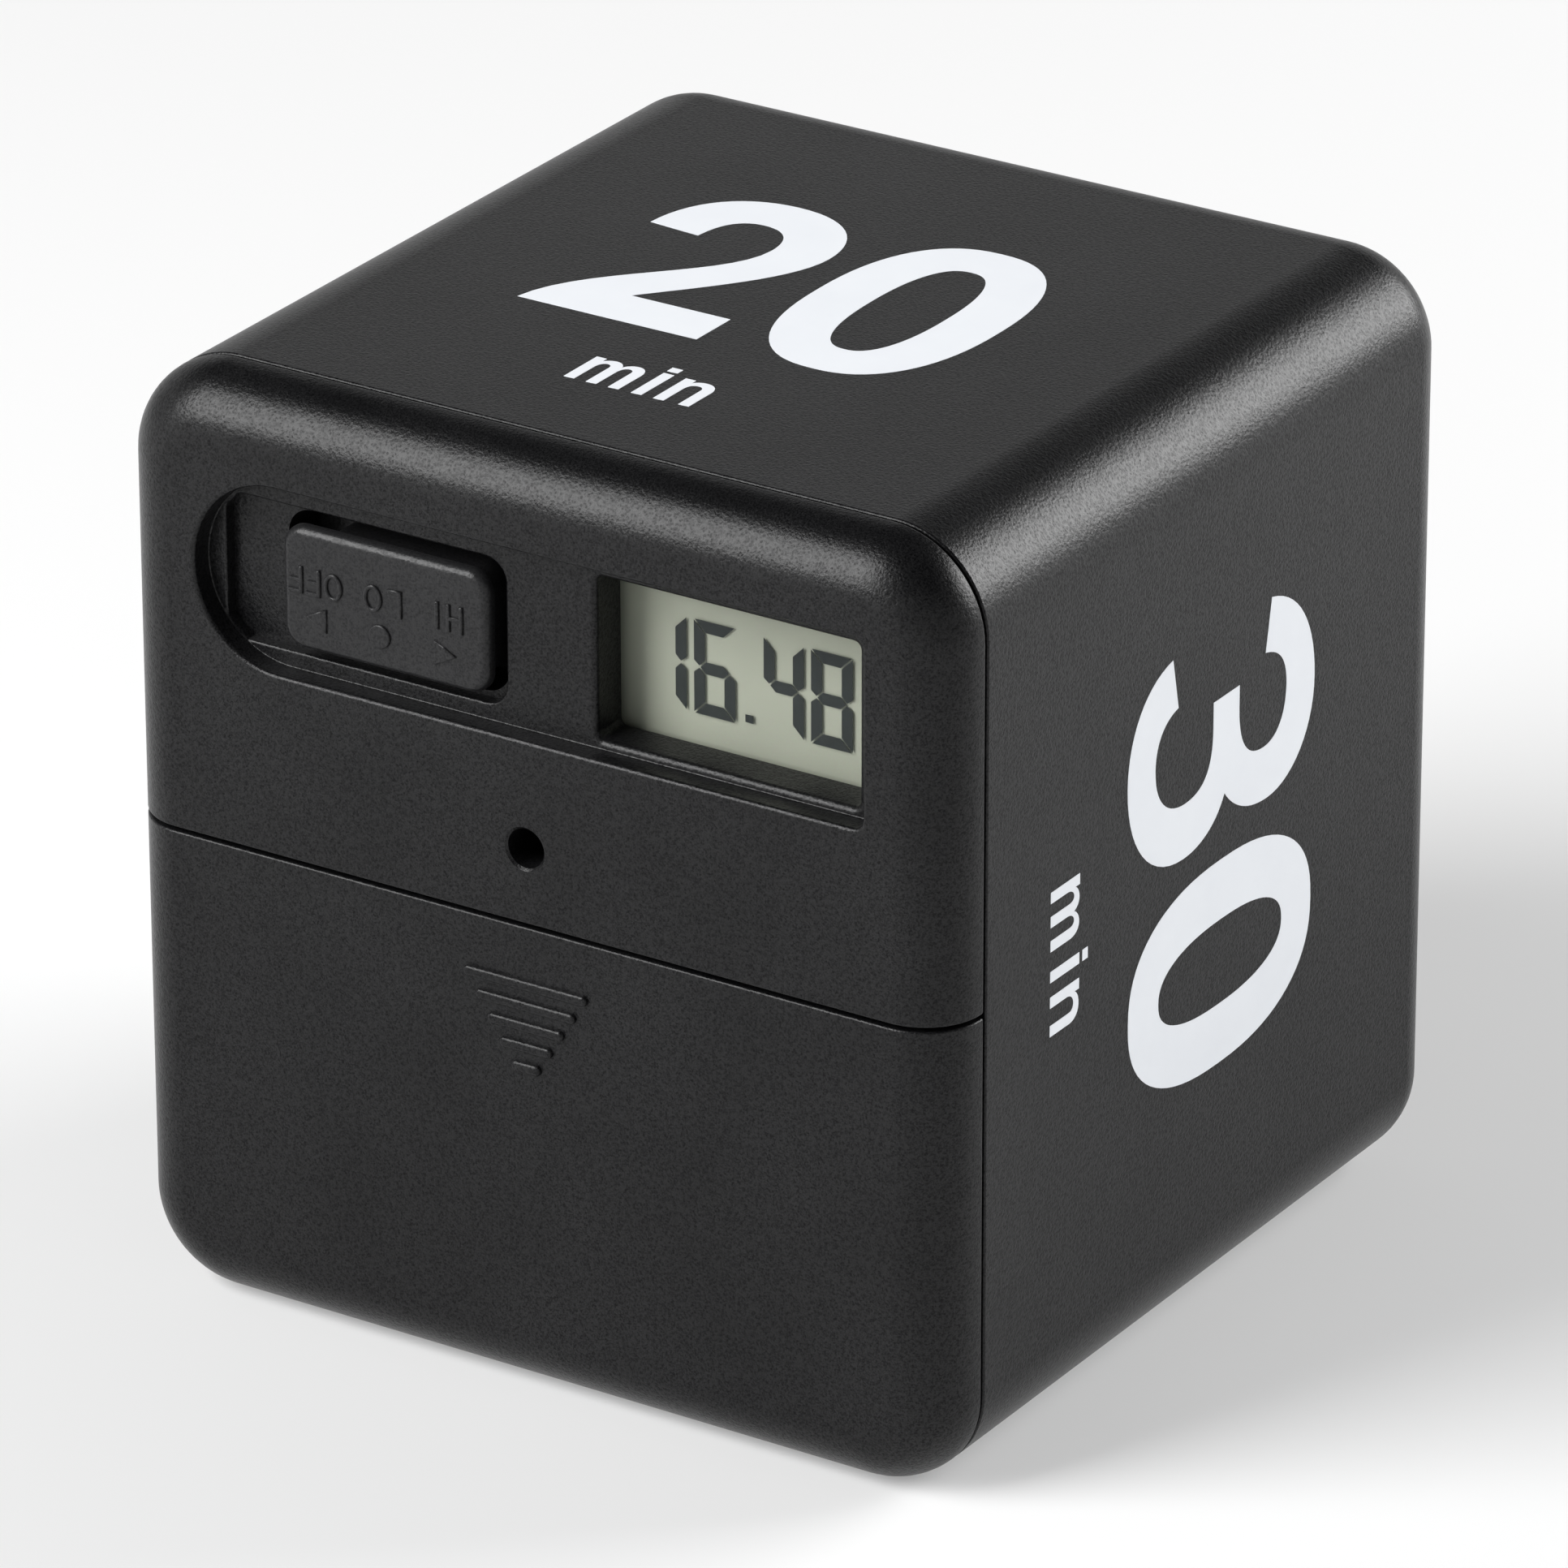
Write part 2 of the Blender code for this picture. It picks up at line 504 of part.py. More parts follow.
def front_panel():
    """Upper half of the front, with its recess band, pocket, window, sound hole and fixings."""
    panel = cap_slice("front_panel", 0.0, 0.0, FRONT_BACK_DEPTH, PANEL_BOTTOM,
                      BODY_HEIGHT + WALL, FRONT_ROUND, PARTS)
    cut(panel, cap_slice("panel_hollow", WALL, WALL, SEAM_DEPTH + WALL, PANEL_BOTTOM + PANEL_SILL,
                         BODY_HEIGHT, FRONT_ROUND - WALL, CUTTERS))

    lip = cap_slice("snap_lip", LIP_OUTSIDE, WALL + WALL / 2, PLATE_DEPTH + LIP_REACH,
                    PANEL_BOTTOM + PANEL_SILL / 2, BODY_HEIGHT, 0.0, CUTTERS)
    cut(lip, body_block("lip_inside", LIP_OUTSIDE + LIP_THICK, 0.0, BODY_DEPTH / 2, CUTTERS))
    join(panel, lip)
    lip_edge = PLATE_DEPTH + LIP_REACH
    lip_top = BODY_HEIGHT - LIP_OUTSIDE
    for side in (-1, 1):
        join(panel, slab("snap", side * SNAP_X - SNAP_WIDTH / 2, side * SNAP_X + SNAP_WIDTH / 2,
                         lip_edge - SNAP_THICK - FIT, lip_edge - FIT, lip_top - LIP_THICK / 2,
                         lip_top + SNAP_RISE, CUTTERS))

    pocket_top = CONTROL_CENTRE + POCKET_HEIGHT / 2
    pocket_bottom = CONTROL_CENTRE - POCKET_HEIGHT / 2
    join(panel, slab("pocket_walls", POCKET_LEFT - POCKET_WALL, POCKET_RIGHT + POCKET_WALL,
                     RECESS_DEPTH / 2, POCKET_DEPTH + POCKET_FLOOR,
                     pocket_bottom - POCKET_WALL, pocket_top + POCKET_WALL, CUTTERS))
    window_top = CONTROL_CENTRE + WINDOW_HEIGHT / 2
    window_bottom = CONTROL_CENTRE - WINDOW_HEIGHT / 2
    join(panel, slab("window_walls", WINDOW_LEFT - WINDOW_WALL,
                     WINDOW_LEFT + WINDOW_WIDTH + WINDOW_WALL, RECESS_DEPTH / 2, SKIRT_DEPTH,
                     window_bottom - WINDOW_WALL, window_top + WINDOW_WALL, CUTTERS))
    shelf_half = RECESS_WIDTH / 2 + WINDOW_WALL
    join(panel, slab("shelf_pad", -shelf_half, shelf_half, RECESS_DEPTH / 2,
                     RECESS_DEPTH + POCKET_WALL, RECESS_CENTRE - RECESS_HEIGHT / 2 - POCKET_WALL,
                     RECESS_CENTRE + RECESS_HEIGHT / 2 + POCKET_WALL, CUTTERS))
    join(panel, deep_rod("sound_ring", 0.0, SOUND_HOLE_HEIGHT,
                         SOUND_HOLE_RADIUS + SOUND_RING_WALL, WALL / 2,
                         BOARD_DEPTH - FIT - BUZZER_HEIGHT - FIT, CUTTERS, sides=24))
    for x, z in BOARD_BOSSES:
        join(panel, deep_rod("board_boss", x, z, BOARD_BOSS_RADIUS, WALL / 2,
                             BOARD_DEPTH - FIT, CUTTERS))
    for side in (-1, 1):
        low = side * LUG_SCREW_X - LUG_WIDTH / 2
        high = side * LUG_SCREW_X + LUG_WIDTH / 2
        join(panel, slab("lug", low, high, PLATE_DEPTH, PLATE_BACK_DEPTH, BAY_TOP + FIT,
                         PANEL_BOTTOM + PANEL_SILL, CUTTERS))
        join(panel, slab("lug_root", low, high, WALL + FIT, PLATE_BACK_DEPTH - FIT / 2,
                         PANEL_BOTTOM + FIT / 3, PANEL_BOTTOM + PANEL_SILL - FIT / 3, CUTTERS))

    cut(panel, recess_outline("recess", RECESS_DEPTH))
    cut(panel, switch_pocket())
    well_play = (POCKET_HEIGHT - CAP_HEIGHT) / 4
    cut(panel, slab("cap_well", CAP_LEFT - CAP_TRAVEL - FIT, CAP_RIGHT + FIT,
                    POCKET_DEPTH - FIT, POCKET_DEPTH + POCKET_FLOOR + FIT,
                    CONTROL_CENTRE - CAP_HEIGHT / 2 - well_play,
                    CONTROL_CENTRE + CAP_HEIGHT / 2 + well_play, CUTTERS,
                    corner=CAP_CORNER + FIT))
    cut(panel, window_hole())
    cut(panel, deep_rod("sound_hole", 0.0, SOUND_HOLE_HEIGHT, SOUND_HOLE_RADIUS, -FIT,
                        BOARD_DEPTH, CUTTERS, sides=24))
    cut(panel, deep_rod("sound_chamfer", 0.0, SOUND_HOLE_HEIGHT,
                        SOUND_HOLE_RADIUS + 2 * SOUND_HOLE_CHAMFER, -SOUND_HOLE_CHAMFER,
                        SOUND_HOLE_CHAMFER, CUTTERS, sides=24, end_radius=SOUND_HOLE_RADIUS))
    for x, z in BOARD_BOSSES:
        cut(panel, deep_rod("boss_pilot", x, z, PILOT_RADIUS, WALL + FIT, BOARD_DEPTH, CUTTERS))
    for side in (-1, 1):
        x = side * LUG_SCREW_X
        cut(panel, deep_rod("lug_hole", x, POST_HEIGHT, SCREW_HOLE_RADIUS, PLATE_DEPTH - FIT,
                            POST_DEPTH, CUTTERS))
        cut(panel, deep_rod("lug_head_hole", x, POST_HEIGHT, HEAD_HOLE_RADIUS, PLATE_DEPTH - FIT,
                            PLATE_DEPTH + HEAD_HEIGHT + FIT, CUTTERS))
    return paint(panel, BLACK_ABS)


# Switch


def switch_cap():
    """Sliding cap: a hollow moulding with a holding flange and a socket for the lever."""
    half = CAP_HEIGHT / 2
    cap = block("switch_cap", (CAP_LEFT, front(CAP_FACE_DEPTH), CONTROL_CENTRE - half),
                (CAP_RIGHT, front(FLANGE_DEPTH + CAP_FLANGE_THICK / 2), CONTROL_CENTRE + half),
                PARTS, corner=CAP_CORNER, front_round=CAP_EDGE, corner_steps=6, rim_steps=3)
    join(cap, slab("cap_flange", CAP_LEFT - CAP_FLANGE, CAP_RIGHT + CAP_FLANGE, FLANGE_DEPTH,
                   FLANGE_BACK_DEPTH, CONTROL_CENTRE - half - CAP_FLANGE,
                   CONTROL_CENTRE + half + CAP_FLANGE, CUTTERS, corner=CAP_CORNER))
    socket_half = LEVER_WIDTH / 2 + FIT
    cut(cap, slab("lever_socket", CAP_MIDDLE - socket_half, CAP_MIDDLE + socket_half,
                  SWITCH_DEPTH - LEVER_REACH - 2 * FIT, SWITCH_DEPTH,
                  CONTROL_CENTRE - LEVER_HEIGHT / 2 - FIT,
                  CONTROL_CENTRE + LEVER_HEIGHT / 2 + FIT, CUTTERS))
    wall_half = socket_half + CAP_WALL
    for low, high in ((CAP_LEFT + CAP_WALL, CAP_MIDDLE - wall_half),
                      (CAP_MIDDLE + wall_half, CAP_RIGHT - CAP_WALL)):
        cut(cap, slab("cap_hollow", low, high, CAP_FACE_DEPTH + CAP_WALL, SWITCH_DEPTH,
                      CONTROL_CENTRE - half + CAP_WALL, CONTROL_CENTRE + half - CAP_WALL,
                      CUTTERS))
    return paint(cap, BLACK_ABS)


def slide_switch():
    """Body on the board, and the lever that the cap pushes along."""
    half = SWITCH_HEIGHT / 2
    body = slab("slide_switch_body", SWITCH_MIDDLE - SWITCH_WIDTH / 2,
                SWITCH_MIDDLE + SWITCH_WIDTH / 2, SWITCH_DEPTH, BOARD_DEPTH - FIT,
                CONTROL_CENTRE - half, CONTROL_CENTRE + half, PARTS)
    slot_half = (LEVER_WIDTH + CAP_TRAVEL) / 2 + FIT
    cut(body, slab("lever_slot", SWITCH_MIDDLE - slot_half, SWITCH_MIDDLE + slot_half,
                   SWITCH_DEPTH - FIT, SWITCH_DEPTH + SWITCH_WALL + FIT,
                   CONTROL_CENTRE - LEVER_HEIGHT / 2 - FIT,
                   CONTROL_CENTRE + LEVER_HEIGHT / 2 + FIT, CUTTERS))
    foot_depth = SWITCH_DEPTH + SWITCH_WALL + FIT
    foot_back = foot_depth + LEVER_FOOT
    chamber_half = slot_half + LEVER_FOOT
    chamber_low = CONTROL_CENTRE - half + SWITCH_WALL
    chamber_high = CONTROL_CENTRE + half - SWITCH_WALL
    cut(body, slab("lever_chamber", SWITCH_MIDDLE - chamber_half, SWITCH_MIDDLE + chamber_half,
                   SWITCH_DEPTH + SWITCH_WALL, foot_back + FIT / 2, chamber_low, chamber_high,
                   CUTTERS))
    paint(body, STEEL)

    lever = slab("slide_switch_lever", CAP_MIDDLE - LEVER_WIDTH / 2, CAP_MIDDLE + LEVER_WIDTH / 2,
                 SWITCH_DEPTH - LEVER_REACH, foot_depth + LEVER_FOOT / 2,
                 CONTROL_CENTRE - LEVER_HEIGHT / 2, CONTROL_CENTRE + LEVER_HEIGHT / 2, PARTS)
    foot_width = LEVER_WIDTH / 2 + LEVER_FOOT
    join(lever, slab("lever_foot", CAP_MIDDLE - foot_width, CAP_MIDDLE + foot_width, foot_depth,
                     foot_back, chamber_low + FIT, chamber_high - FIT, CUTTERS))
    paint(lever, BLACK_INNER)


# Display


def display():
    """Glass, reflector, holder and the two rubber connector strips between glass and board."""
    glass_left = WINDOW_LEFT - GLASS_MARGIN
    glass_right = WINDOW_LEFT + WINDOW_WIDTH + GLASS_MARGIN
    glass_low = CONTROL_CENTRE - WINDOW_HEIGHT / 2 - GLASS_LEDGE
    glass_high = CONTROL_CENTRE + WINDOW_HEIGHT / 2 + GLASS_LEDGE
    paint(slab("lcd_glass", glass_left, glass_right, GLASS_DEPTH, GLASS_BACK_DEPTH, glass_low,
               glass_high, PARTS), GLASS)

    film_low = glass_low + ZEBRA_HEIGHT + 2 * FIT
    film_high = glass_high - ZEBRA_HEIGHT - 2 * FIT
    film_depth = GLASS_BACK_DEPTH + FILM_GAP
    paint(slab("lcd_reflector", glass_left + FIT, glass_right - FIT, film_depth,
               film_depth + REFLECTOR_THICK, film_low, film_high, PARTS), REFLECTOR)

    grip = FIT + HOLDER_WALL
    holder_back = BOARD_DEPTH - FIT
    holder = slab("lcd_holder", glass_left - grip, glass_right + grip, GLASS_DEPTH, holder_back,
                  glass_low - grip, glass_high + grip, PARTS, corner=HOLDER_CORNER)
    cut(holder, slab("glass_pocket", glass_left - FIT, glass_right + FIT, GLASS_DEPTH - FIT,
                     HOLDER_FLOOR_DEPTH, glass_low - FIT, glass_high + FIT, CUTTERS))
    cut(holder, slab("film_pocket", glass_left, glass_right, HOLDER_FLOOR_DEPTH - FIT,
                     film_depth + REFLECTOR_THICK + FIT, film_low - FIT / 2, film_high + FIT / 2,
                     CUTTERS))
    cut(holder, slab("holder_hollow", glass_left + HOLDER_WALL, glass_right - HOLDER_WALL,
                     film_depth + REFLECTOR_THICK + HOLDER_WALL, holder_back + FIT,
                     film_low + HOLDER_WALL, film_high - HOLDER_WALL, CUTTERS))
    for place, low in (("lower", glass_low), ("upper", glass_high - ZEBRA_HEIGHT)):
        cut(holder, slab("zebra_slot", glass_left + FIT, glass_right - FIT,
                         HOLDER_FLOOR_DEPTH - FIT, holder_back + FIT, low - FIT / 2,
                         low + ZEBRA_HEIGHT + FIT / 2, CUTTERS))
        paint(slab("zebra_strip_" + place, glass_left + 2 * FIT, glass_right - 2 * FIT,
                   HOLDER_FLOOR_DEPTH, holder_back, low + FIT / 3, low + ZEBRA_HEIGHT - FIT / 3,
                   PARTS), RUBBER)
    paint(holder, BLACK_INNER)


# Circuit board and what is soldered to it


def circuit_board():
    """Board on the panel's three bosses, with the parts on its back."""
    board = block("circuit_board", (-BOARD_HALF_WIDTH, front(BOARD_DEPTH), BOARD_BOTTOM),
                  (BOARD_HALF_WIDTH, front(BOARD_DEPTH + BOARD_THICK), BOARD_TOP), PARTS,
                  corner=BOARD_CORNER, corner_steps=5)
    for x, z in BOARD_BOSSES:
        cut(board, deep_rod("board_hole", x, z, SCREW_HOLE_RADIUS, BOARD_DEPTH - FIT,
                            BOARD_DEPTH + BOARD_THICK + FIT, CUTTERS))
    paint(board, BOARD_GREEN)

    seat = BOARD_DEPTH + BOARD_THICK + FIT
    middle = (BOARD_BOTTOM + BOARD_TOP) / 2
    angles = [index / BLOB_STEPS * math.pi / 2 for index in range(BLOB_STEPS + 1)]
    profile = [(BLOB_RADIUS * math.sin(angle), BLOB_RISE * math.cos(angle)) for angle in angles]
    blob = turned("chip_blob", profile + [(0.0, 0.0)], (BLOB_X, front(seat), middle), PARTS, 24)
    blob.rotation_euler.x = -math.pi / 2
    paint(blob, EPOXY)

    crystal_place = (CRYSTAL_X, front(seat + CRYSTAL_RADIUS), middle + CRYSTAL_RISE)
    paint(rod("quartz_crystal", crystal_place, "X", CRYSTAL_RADIUS, CRYSTAL_LENGTH, PARTS), STEEL)
    level_place = (LEVEL_TILT_X, front(seat + TILT_RADIUS), middle - LEVEL_TILT_DROP)
    paint(rod("tilt_switch_level", level_place, "X", TILT_RADIUS, TILT_LENGTH, PARTS, sides=20),
          STEEL)
    upright_place = (UPRIGHT_TILT_X, front(seat + TILT_RADIUS), middle + UPRIGHT_TILT_RISE)
    paint(rod("tilt_switch_upright", upright_place, "Z", TILT_RADIUS, TILT_LENGTH, PARTS,
              sides=20), STEEL)

    for index in range(CHIP_COUNT):
        x = CHIP_ROW_X + (index - (CHIP_COUNT - 1) / 2) * CHIP_PITCH
        low = middle + CHIP_ROW_RISE - CHIP_HEIGHT / 2
        paint(slab(f"chip_part_{index + 1}", x - CHIP_WIDTH / 2, x + CHIP_WIDTH / 2, seat,
                   seat + CHIP_THICK, low, low + CHIP_HEIGHT, PARTS), CERAMIC)


def buzzer():
    """Round sounder on the board, its port facing the sound hole."""
    back = BOARD_DEPTH - FIT
    face = back - BUZZER_HEIGHT
    case = deep_rod("buzzer", 0.0, SOUND_HOLE_HEIGHT, BUZZER_RADIUS, face, back, PARTS, sides=32)
    cut(case, deep_rod("buzzer_port", 0.0, SOUND_HOLE_HEIGHT, SOUND_HOLE_RADIUS, face - FIT,
                       face + BUZZER_PORT_DEPTH, CUTTERS))
    paint(case, BLACK_INNER)


def screw(name, x, z, head_depth, direction):
    """Pan head screw with its shank. Direction +1 drives it backwards, -1 towards the front."""
    head = HEAD_HEIGHT / 2
    tip = -head - SCREW_LENGTH
    profile = [(0.0, head), (HEAD_FACE_RADIUS, head), (HEAD_RADIUS, head / 4),
               (HEAD_RADIUS, -head), (SCREW_RADIUS, -head), (SCREW_RADIUS, tip + SCREW_RADIUS),
               (SCREW_RADIUS / 2, tip), (0.0, tip)]
    piece = turned(name, profile, (x, front(head_depth + direction * head), z), PARTS, 16)
    piece.rotation_euler.x = direction * math.pi / 2
    return paint(piece, STEEL)


# Battery bay


def battery_tray():
    """Inner frame: plate, two troughs for the cells, door rails, latch bump and tongues."""
    tray = cap_slice("battery_tray", LIP_OUTSIDE, PLATE_DEPTH, TRAY_BACK_DEPTH, 0.0, TRAY_TOP,
                     0.0, PARTS)
    cut(tray, slab("tray_step", -HALF_WIDTH, HALF_WIDTH, PLATE_BACK_DEPTH,
                   TRAY_BACK_DEPTH + WALL, BAY_TOP, SPLIT_HEIGHT, CUTTERS))
    for height in (CELL_LOW, CELL_HIGH):
        cut(tray, rod("cell_trough", (0.0, front(CELL_DEPTH), height), "X", TROUGH_RADIUS,
                      2 * BAY_HALF, CUTTERS, sides=32))
    cut(tray, slab("bay_mouth", -BAY_HALF, BAY_HALF, PLATE_DEPTH - FIT, CELL_DEPTH,
                   CELL_LOW - TROUGH_RADIUS, CELL_HIGH + TROUGH_RADIUS, CUTTERS))
    for side in (-1, 1):
        for height in (CELL_LOW, CELL_HIGH):
            inner = side * (BAY_HALF - 2 * FIT - CONTACT_THICK - FIT)
            outer = side * BAY_HALF
            cut(tray, slab("tab_slit", min(inner, outer), max(inner, outer), CELL_DEPTH,
                           TRAY_BACK_DEPTH + FIT, height - TAB_HALF - FIT,
                           height + TAB_HALF + FIT, CUTTERS))
        low = side * LUG_SCREW_X - LUG_WIDTH / 2 - FIT
        cut(tray, slab("lug_notch", low, low + LUG_WIDTH + 2 * FIT, PLATE_DEPTH - FIT,
                       PLATE_BACK_DEPTH + FIT, BAY_TOP, SPLIT_HEIGHT, CUTTERS))
        x = side * TRAY_SCREW_X
        cut(tray, deep_rod("tray_hole", x, POST_HEIGHT, SCREW_HOLE_RADIUS, PLATE_DEPTH - FIT,
                           POST_DEPTH, CUTTERS))
        cut(tray, deep_rod("tray_head_hole", x, POST_HEIGHT, HEAD_HOLE_RADIUS, PLATE_DEPTH - FIT,
                           PLATE_DEPTH + HEAD_HEIGHT + FIT, CUTTERS))
        root = side * RAIL_ROOT
        web = side * (RAIL_ROOT + RAIL_WEB)
        flange = side * (RAIL_ROOT + RAIL_WEB + RAIL_FLANGE)
        join(tray, slab("rail_web", min(root, web), max(root, web), RAIL_FRONT_DEPTH,
                        PLATE_DEPTH + FIT, RAIL_BOTTOM, RAIL_TOP, CUTTERS))
        join(tray, slab("rail_flange", min(root, flange) + FIT / 3, max(root, flange) - FIT / 3,
                        RAIL_FRONT_DEPTH - FIT / 3, RAIL_FRONT_DEPTH + RAIL_FLANGE_THICK,
                        RAIL_BOTTOM - FIT / 3, RAIL_TOP + FIT / 3, CUTTERS))
        middle = side * TONGUE_X
        join(tray, slab("tongue", middle - TONGUE_WIDTH / 2, middle + TONGUE_WIDTH / 2,
                        PLATE_DEPTH + 2 * FIT, PLATE_DEPTH + 2 * FIT + TONGUE_THICK,
                        TRAY_BOTTOM - TONGUE_REACH, TRAY_BOTTOM + TRAY_WALL / 2, CUTTERS))
    latch_low = BAY_TOP + LATCH_STEP
    join(tray, slab("latch_bump", -LATCH_HALF, LATCH_HALF, PLATE_DEPTH - LATCH_RISE,
                    PLATE_DEPTH + FIT, latch_low, latch_low + LATCH_HEIGHT, CUTTERS))
    return paint(tray, BLACK_INNER)


def cells_and_contacts():
    """Two cells in series, with springs on their flat ends and dimpled plates on their nubs."""
    inner_plate = BAY_HALF - FIT - CONTACT_THICK
    for name, height, nub_side in (("battery_upper", CELL_HIGH, 1), ("battery_lower", CELL_LOW, -1)):
        top = CELL_LENGTH / 2
        shoulder = top - CELL_NUB_HEIGHT
        soft = CELL_SHOULDER
        profile = [(0.0, top), (CELL_NUB_RADIUS, top), (CELL_NUB_RADIUS, shoulder),
                   (CELL_RADIUS - soft, shoulder), (CELL_RADIUS, shoulder - soft),
                   (CELL_RADIUS, -top + soft), (CELL_RADIUS - soft, -top), (0.0, -top)]
        middle = nub_side * (inner_plate - CONTACT_DIMPLE - FIT - top)
        cell = turned(name, profile, (middle, front(CELL_DEPTH), height), PARTS, 28)
        cell.rotation_euler.y = nub_side * math.pi / 2
        paint(cell, CELL_SLEEVE)

        spring_end = -nub_side * (inner_plate - FIT)
        spring(name.replace("battery", "spring"), spring_end, nub_side, height)
        low = min(nub_side * inner_plate, nub_side * (inner_plate + CONTACT_THICK))
        plate = contact_plate(name.replace("battery", "plus_plate"), low, height)
        join(plate, rod("dimple", (nub_side * (inner_plate - CONTACT_DIMPLE / 2 + FIT / 2),
                                   front(CELL_DEPTH), height), "X", CELL_NUB_RADIUS,
                        CONTACT_DIMPLE + FIT, CUTTERS))
        low = min(-nub_side * inner_plate, -nub_side * (inner_plate + CONTACT_THICK))
        contact_plate(name.replace("battery", "minus_plate"), low, height)


def contact_plate(name, low, height):
    """Sprung steel plate at an end of the bay, with its tab through the back of the tray."""
    plate = slab(name, low, low + CONTACT_THICK, CELL_DEPTH - CONTACT_HALF,
                 CELL_DEPTH + CONTACT_HALF, height - CONTACT_HALF, height + CONTACT_HALF, PARTS)
    join(plate, slab(name + "_tab", low + FIT / 4, low + CONTACT_THICK - FIT / 4,
                     CELL_DEPTH + CONTACT_HALF / 2, CELL_DEPTH + CONTACT_HALF + TAB_REACH,
                     height - TAB_HALF, height + TAB_HALF, CUTTERS))
    return paint(plate, STEEL)


def spring(name, end_x, side, height):
    """Coil spring between a plate and a cell, as one wire that ends in two closed-in curls."""
    count = SPRING_CURLS * POINTS_PER_CURL
    places = []
    for index in range(count + 1):
        share = index / count
        angle = 2 * math.pi * SPRING_CURLS * share
        radius = SPRING_RADIUS + (SPRING_END_RADIUS - SPRING_RADIUS) * share
        x = end_x + side * (SPRING_WIRE + (SPRING_LENGTH - 2 * SPRING_WIRE) * share)
        places.append(Vector((x, front(CELL_DEPTH) + radius * math.cos(angle),
                              height + radius * math.sin(angle))))
    least = min((places[i] - places[j]).length for i in range(len(places))
                for j in range(i + POINTS_PER_CURL // 2, len(places)))
    print(name, "least gap between curls, mm:", round((least - 2 * SPRING_WIRE) * 1000, 2))
    return paint(wire(name, places, SPRING_WIRE, PARTS), STEEL)


def leads():
    """Two insulated leads from the right-hand contact tabs up to the board."""
    tab_end = CELL_DEPTH + CONTACT_HALF + TAB_REACH + FIT
    board_back = BOARD_DEPTH + BOARD_THICK + FIT
    tab_x = BAY_HALF - FIT - CONTACT_THICK / 2
    red = [(tab_x, front(tab_end), CELL_HIGH), (tab_x, front(tab_end + 0.0012), CELL_HIGH + 0.0012),
           (tab_x, front(tab_end + 0.0014), 0.0250), (tab_x, front(tab_end + 0.0012), 0.0290),
           (tab_x - 0.0002, front(tab_end), 0.0325), (tab_x - 0.0012, front(0.0158), 0.0350),
           (tab_x - 0.0022, front(0.0135), 0.0360), (tab_x - 0.0028, front(board_back), 0.0362)]
    black = [(tab_x, front(tab_end), CELL_LOW), (tab_x - 0.0004, front(tab_end + 0.0018), 0.0110),
             (tab_x - 0.0008, front(tab_end + 0.0030), 0.0150),
             (tab_x - 0.0009, front(tab_end + 0.0034), 0.0210),
             (tab_x - 0.0009, front(tab_end + 0.0034), 0.0280),
             (tab_x - 0.0016, front(tab_end + 0.0028), 0.0330),
             (tab_x - 0.0032, front(0.0178), 0.0362), (tab_x - 0.0048, front(0.0142), 0.0372),
             (tab_x - 0.0055, front(board_back), 0.0374)]
    paint(wire("lead_red", red, LEAD_RADIUS, PARTS, resolution=2), RED_VINYL)
    paint(wire("lead_black", black, LEAD_RADIUS, PARTS, resolution=2), BLACK_VINYL)


# Battery door


def battery_door():
    """Lower half of the front: a sliding cover with inward lips, a top rib and grip bars."""
    door = cap_slice("battery_door", 0.0, 0.0, FRONT_BACK_DEPTH, -WALL, DOOR_TOP, FRONT_ROUND,
                     PARTS)
    cut(door, cap_slice("door_hollow", WALL, WALL, SEAM_DEPTH + WALL, 0.0, SPLIT_HEIGHT + WALL,
                        FRONT_ROUND - WALL, CUTTERS))
    lip_depth = RAIL_FRONT_DEPTH + RAIL_FLANGE_THICK + FIT
    lip_inside = RAIL_ROOT + RAIL_WEB + FIT
    for side in (-1, 1):
        edge = side * lip_inside
        root = side * (HALF_WIDTH - WALL / 2)
        join(door, slab("door_lip", min(edge, root), max(edge, root), lip_depth,
                        FRONT_BACK_DEPTH - FIT / 3, RAIL_BOTTOM + DOOR_LIP_SHORTER,
                        RAIL_TOP - DOOR_LIP_SHORTER, CUTTERS))
    rib_half = RAIL_ROOT - DOOR_RIB_PLAY
    join(door, slab("door_rib", -rib_half, rib_half, WALL / 2,
                    PLATE_DEPTH - LATCH_RISE - FIT, DOOR_TOP - DOOR_RIB_THICK, DOOR_TOP - FIT / 3,
                    CUTTERS))
    for index in range(GRIP_COUNT):
        half = (GRIP_WIDTH - index * GRIP_SHRINK) / 2
        height = SPLIT_HEIGHT - GRIP_DROP - index * GRIP_PITCH
        join(door, slab("grip_bar", -half, half, -GRIP_RISE, WALL / 2, height - GRIP_HEIGHT / 2,
                        height + GRIP_HEIGHT / 2, CUTTERS, corner=GRIP_CORNER))
    return paint(door, BLACK_ABS)


clear_scene()
PARTS = new_collection("visual_timer")
CUTTERS = new_collection("cutters")
rear_shell()
front_panel()
switch_cap()
slide_switch()
display()
circuit_board()
buzzer()
for number, (x, z) in enumerate(BOARD_BOSSES, 1):
    screw(f"board_screw_{number}", x, z, BOARD_DEPTH + BOARD_THICK + FIT + HEAD_HEIGHT, -1)
battery_tray()
cells_and_contacts()
leads()
for number, x in enumerate(POST_PLACES, 1):
    screw(f"frame_screw_{number}", x, POST_HEIGHT, PLATE_DEPTH + FIT / 6, 1)
battery_door()
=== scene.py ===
"""Cube timer with a display, a sliding volume switch and a sliding battery door.

Sizes and places are in millimetres. A place is written as x, depth behind the front face, and
height above the desk, as in the CAD model, and the helpers turn it into the frame's metres.
"""
import math

import bmesh
import bpy
from mathutils import Matrix, Vector


